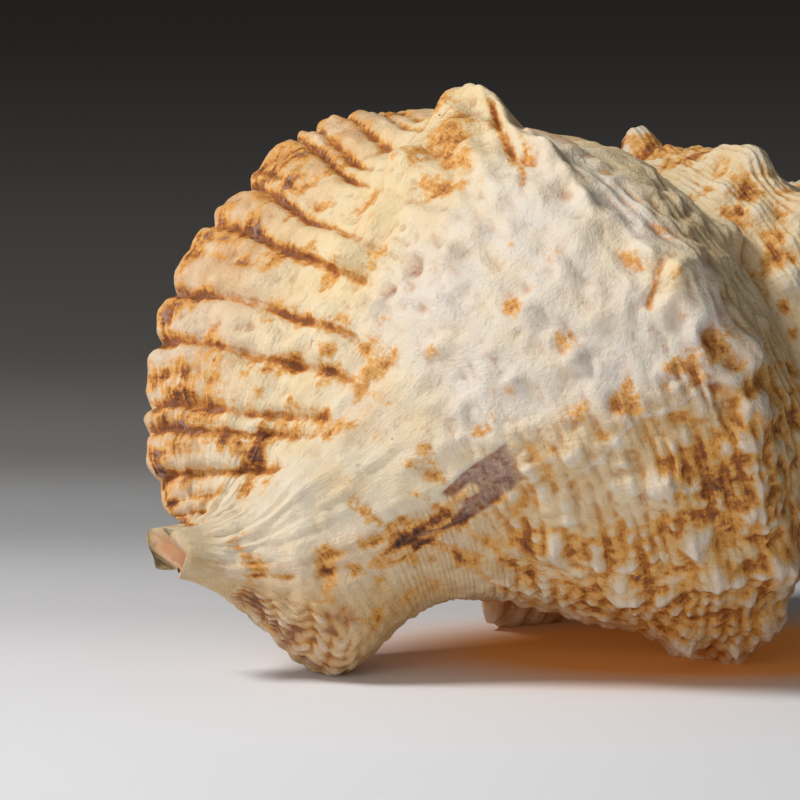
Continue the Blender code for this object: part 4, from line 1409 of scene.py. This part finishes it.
tone = mixed(ranged(cloud, 0.35, 0.68), CREAM, PALE_CREAM)
tone = coloured(tone, "tan", 0.3, 0.6, 0.5, 1.0, TAN)
tone = mixed(times(mark("warm"), 0.55), tone, YELLOW)
tone = coloured(tone, "wash", 0.3, 0.65, 0.55, 1.0, RUSTY_CREAM)
tone = coloured(tone, "chalk", 0.25, 0.6, 0.7, 1.0, CHALK)
tone = coloured(tone, "grey", 0.4, 0.6, 0.0, 0.55, SCAR_GREY)

broken = added(ranged(patch, 0.30, 0.68, -0.20, 0.20), ranged(fleck, 0.3, 0.7, -0.12, 0.12))
broken = added(broken, ranged(across, 0.35, 0.65, -0.05, 0.05), ranged(along, 0.35, 0.65, -0.06, 0.06))
broken = added(broken, times(ranged(across, 0.40, 0.62, -0.10, 0.16), mark("tan")))
stain = added(mark("stain"), times(broken, ranged(mark("stain"), 0.02, 0.25)))
for start, full, most, colour in STAIN_TONES:
    tone = mixed(ranged(stain, start, full, 0.0, most), tone, colour)
# Painted sheen: pale purple-grey patches on the darker stain stand in for a glossy reflection
painted_sheen = times(ranged(stain, 0.45, 0.75), ranged(patch, 0.55, 0.62))
painted_sheen = times(painted_sheen, ranged(mark("tan"), 0.0, 0.4, 0.15, 0.8))
tone = mixed(painted_sheen, tone, PURPLE_GREY)
scaly = mixed(ranged(patch, 0.42, 0.62), PURPLE_GREY, PURPLE)
tone = mixed(times(mark("purple"), ranged(fleck, 0.30, 0.55, 0.55, 1.0)), tone, scaly)
# Rust colour is mixed in where the fine relief is hollow
hollow_darkening = ranged(mark("hollow"), 0.50, 0.85, 0.0, 0.55)
tone = mixed(times(hollow_darkening, ranged(patch, 0.3, 0.6, 0.4, 1.0)), tone, RUST)
tone = coloured(tone, "pale", 0.35, 0.5, 0.3, 0.95, CHALK)
pits = nodes.new("ShaderNodeTexVoronoi")
wired(pits.inputs["Vector"], place)
pits.inputs["Scale"].default_value = PIT_SCALE
pit = times(ranged(pits.outputs["Distance"], 0.04, 0.08, 1.0, 0.0), ranged(patch, 0.58, 0.64))
pit = times(pit, ranged(mark("inside"), 0.0, 0.3, 1.0, 0.0))
tone = mixed(times(pit, 0.6), tone, BLACK_BROWN)
tone = mixed(mark("inside"), tone, mixed(ranged(cloud, 0.35, 0.7), PEACH, PALE_PEACH))
wired(surface.inputs["Base Color"], tone)
gloss = added(mark("inside"), ranged(stain, 0.5, 1.0, 0.0, 0.55), times(mark("purple"), 0.3))
wired(surface.inputs["Roughness"], ranged(gloss, 0.0, 1.0, 0.62, 0.30))
surface.inputs["Specular IOR Level"].default_value = 0.35
surface.inputs["Subsurface Weight"].default_value = 0.10
surface.inputs["Subsurface Radius"].default_value = (1.0, 0.55, 0.28)
surface.inputs["Subsurface Scale"].default_value = 0.002

threads = nodes.new("ShaderNodeTexWave")
wired(threads.inputs["Vector"], stretched(1.0, THREAD_SCALE))
threads.bands_direction = "Y"
threads.inputs["Scale"].default_value = 1.0
threads.inputs["Distortion"].default_value = 2.5
threads.inputs["Detail"].default_value = 3.0
rough = added(times(grain, 0.22), times(fleck, 0.40), times(patch, 0.7))
rough = added(rough, times(across, ranged(mark("chalk"), 0.0, 0.8, 0.45, 0.10)))
rough = added(rough, times(threads.outputs["Fac"], times(mark("rust"), 0.18)), times(pit, -0.7))
bump = nodes.new("ShaderNodeBump")
bump.inputs["Strength"].default_value = 1.0
bump.inputs["Distance"].default_value = GRAIN_DEPTH
wired(bump.inputs["Height"], times(rough, ranged(mark("inside"), 0.0, 1.0, 1.0, 0.06)))
wired(surface.inputs["Normal"], bump.outputs["Normal"])

shell.data.materials.clear()
shell.data.materials.append(finish)
shell.data.polygons.foreach_set("material_index", np.zeros(len(shell.data.polygons), np.int32))
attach(shell, "root")
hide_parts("shell")

# Pale surface that the shell lies on, which runs far back and into the dark: one wide sheet with painted
# light in front and painted shade further from the light. A painted orange glow, with a faint emission,
# warms it in the shell's shadow and stands in for light that has passed the shell's orange lime.

# Distance back, painted lightness and tint
PAPER_PAINTED_FALLOFF = (
    (-0.10, 0.83, (1.0, 1.05, 1.15)),
    (-0.02, 0.81, (1.0, 1.03, 1.12)),
    (0.06, 0.62, (1.0, 1.03, 1.12)),
    (0.17, 0.355, (1.0, 1.03, 1.10)),
    (0.29, 0.185, (1.0, 1.02, 1.06)),
    (0.53, 0.110, (1.0, 0.99, 0.96)),
    (1.20, 0.150, (1.0, 0.94, 0.89)),
    (4.00, 0.072, (1.0, 0.92, 0.76)),
)
PAPER_START = -0.4
PAPER_END = 5.0
PAPER_PAINTED_FAR_SHADE = (0.060, 0.054, 0.043)
PAPER_WIDTH = 60.0
# Painted glow: orange colour and a faint emission on the paper in the shell's shadow, standing in for warm
# light passed through the shell
PAINTED_GLOW = (0.63, 0.29, 0.085)
PAINTED_GLOW_EMISSION = (1.0, 0.33, 0.05)
PAINTED_GLOW_STRENGTH = 0.08
PAINTED_GLOW_MIDDLE = (0.014, 0.0, 0.0)
PAINTED_GLOW_SIZE = (0.098, 0.052, 1.0)

bpy.ops.object.select_all(action="DESELECT")
bpy.ops.mesh.primitive_plane_add(size=PAPER_WIDTH, location=(0.0, 0.0, 0.0))
floor = bpy.context.object
floor.name = "floor"
paper = bpy.data.materials.new("pale paper")
paper.use_nodes = True
nodes = paper.node_tree.nodes
links = paper.node_tree.links
surface = nodes["Principled BSDF"]
place = nodes.new("ShaderNodeTexCoord").outputs["Object"]
apart = nodes.new("ShaderNodeSeparateXYZ")
wired(apart.inputs["Vector"], place)
# Painted light and shade: the paper darkens with distance back, as if further from the light
painted_falloff = nodes.new("ShaderNodeValToRGB")
painted_falloff.color_ramp.interpolation = "EASE"
wired(painted_falloff.inputs["Fac"], ranged(apart.outputs["Y"], PAPER_START, PAPER_END, curve="LINEAR"))
for step, (back, light, tint) in enumerate(PAPER_PAINTED_FALLOFF):
    at = (back - PAPER_START) / (PAPER_END - PAPER_START)
    stop = painted_falloff.color_ramp.elements[0] if step == 0 else painted_falloff.color_ramp.elements.new(at)
    stop.position = at
    stop.color = (*[light * share for share in tint], 1.0)
painted_falloff.color_ramp.elements[len(PAPER_PAINTED_FALLOFF)].color = (*PAPER_PAINTED_FAR_SHADE, 1.0)

# Painted glow in the shell's shadow: orange colour and a faint emission, not a lamp
painted_glow_map = nodes.new("ShaderNodeMapping")
painted_glow_map.vector_type = "TEXTURE"
painted_glow_map.inputs["Location"].default_value = PAINTED_GLOW_MIDDLE
painted_glow_map.inputs["Scale"].default_value = PAINTED_GLOW_SIZE
wired(painted_glow_map.inputs["Vector"], place)
painted_glow = nodes.new("ShaderNodeTexGradient")
painted_glow.gradient_type = "QUADRATIC_SPHERE"
wired(painted_glow.inputs["Vector"], painted_glow_map.outputs["Vector"])
painted_glow_share = ranged(painted_glow.outputs["Fac"], 0.0, 0.32, curve="LINEAR")
wired(surface.inputs["Base Color"], mixed(painted_glow_share, painted_falloff.outputs["Color"], PAINTED_GLOW))
wired(surface.inputs["Emission Color"], PAINTED_GLOW_EMISSION)
wired(surface.inputs["Emission Strength"], times(painted_glow_share, PAINTED_GLOW_STRENGTH))
surface.inputs["Roughness"].default_value = 0.9
floor.data.materials.append(paper)

# Studio light: a soft key high on the left, level with the shell so that it grazes its back, a
# weak fill from the front, and a dim, even surround.
world = bpy.data.worlds.new("studio")
bpy.context.scene.world = world
world.use_nodes = True
world.node_tree.nodes["Background"].inputs["Color"].default_value = (0.30, 0.295, 0.285, 1.0)
world.node_tree.nodes["Background"].inputs["Strength"].default_value = 0.35
bpy.context.scene.view_settings.view_transform = "Standard"


def soft_light(name, place, aim, size, power, colour):
    """A round lamp with a soft edge, turned towards the point that it lights."""
    bpy.ops.object.light_add(type="AREA", location=place)
    light = bpy.context.object
    light.name = name
    light.data.shape = "DISK"
    light.data.size = size
    light.data.energy = power
    light.data.color = colour
    light.rotation_euler = (Vector(aim) - Vector(place)).to_track_quat("-Z", "Y").to_euler()


soft_light(
    "key", place=(-0.66, -0.17, 0.77), aim=(0.0, 0.0, 0.04), size=0.26, power=7.8, colour=(1.0, 0.955, 0.89)
)
soft_light(
    "fill", place=(-0.42, -0.88, 0.20), aim=(0.0, 0.0, 0.05), size=0.8, power=4.0, colour=(1.0, 0.955, 0.90)
)

# Camera at the photo's place: level with the shell, a little above it, close enough that the
# spire runs out of the picture on the right.
CAMERA_PLACE = (-0.04535, -0.7444, 0.1397)
CAMERA_TILT = 83.0
SENSOR_WIDTH = 36.0
PICTURE_PIXELS = 800.0
FOCAL_PIXELS = 750.0 / 0.19

bpy.ops.object.camera_add(location=CAMERA_PLACE, rotation=(math.radians(CAMERA_TILT), 0.0, 0.0))
camera = bpy.context.object
camera.data.sensor_width = SENSOR_WIDTH
camera.data.lens = SENSOR_WIDTH * FOCAL_PIXELS / PICTURE_PIXELS
camera.data.clip_end = 20.0
bpy.context.scene.camera = camera
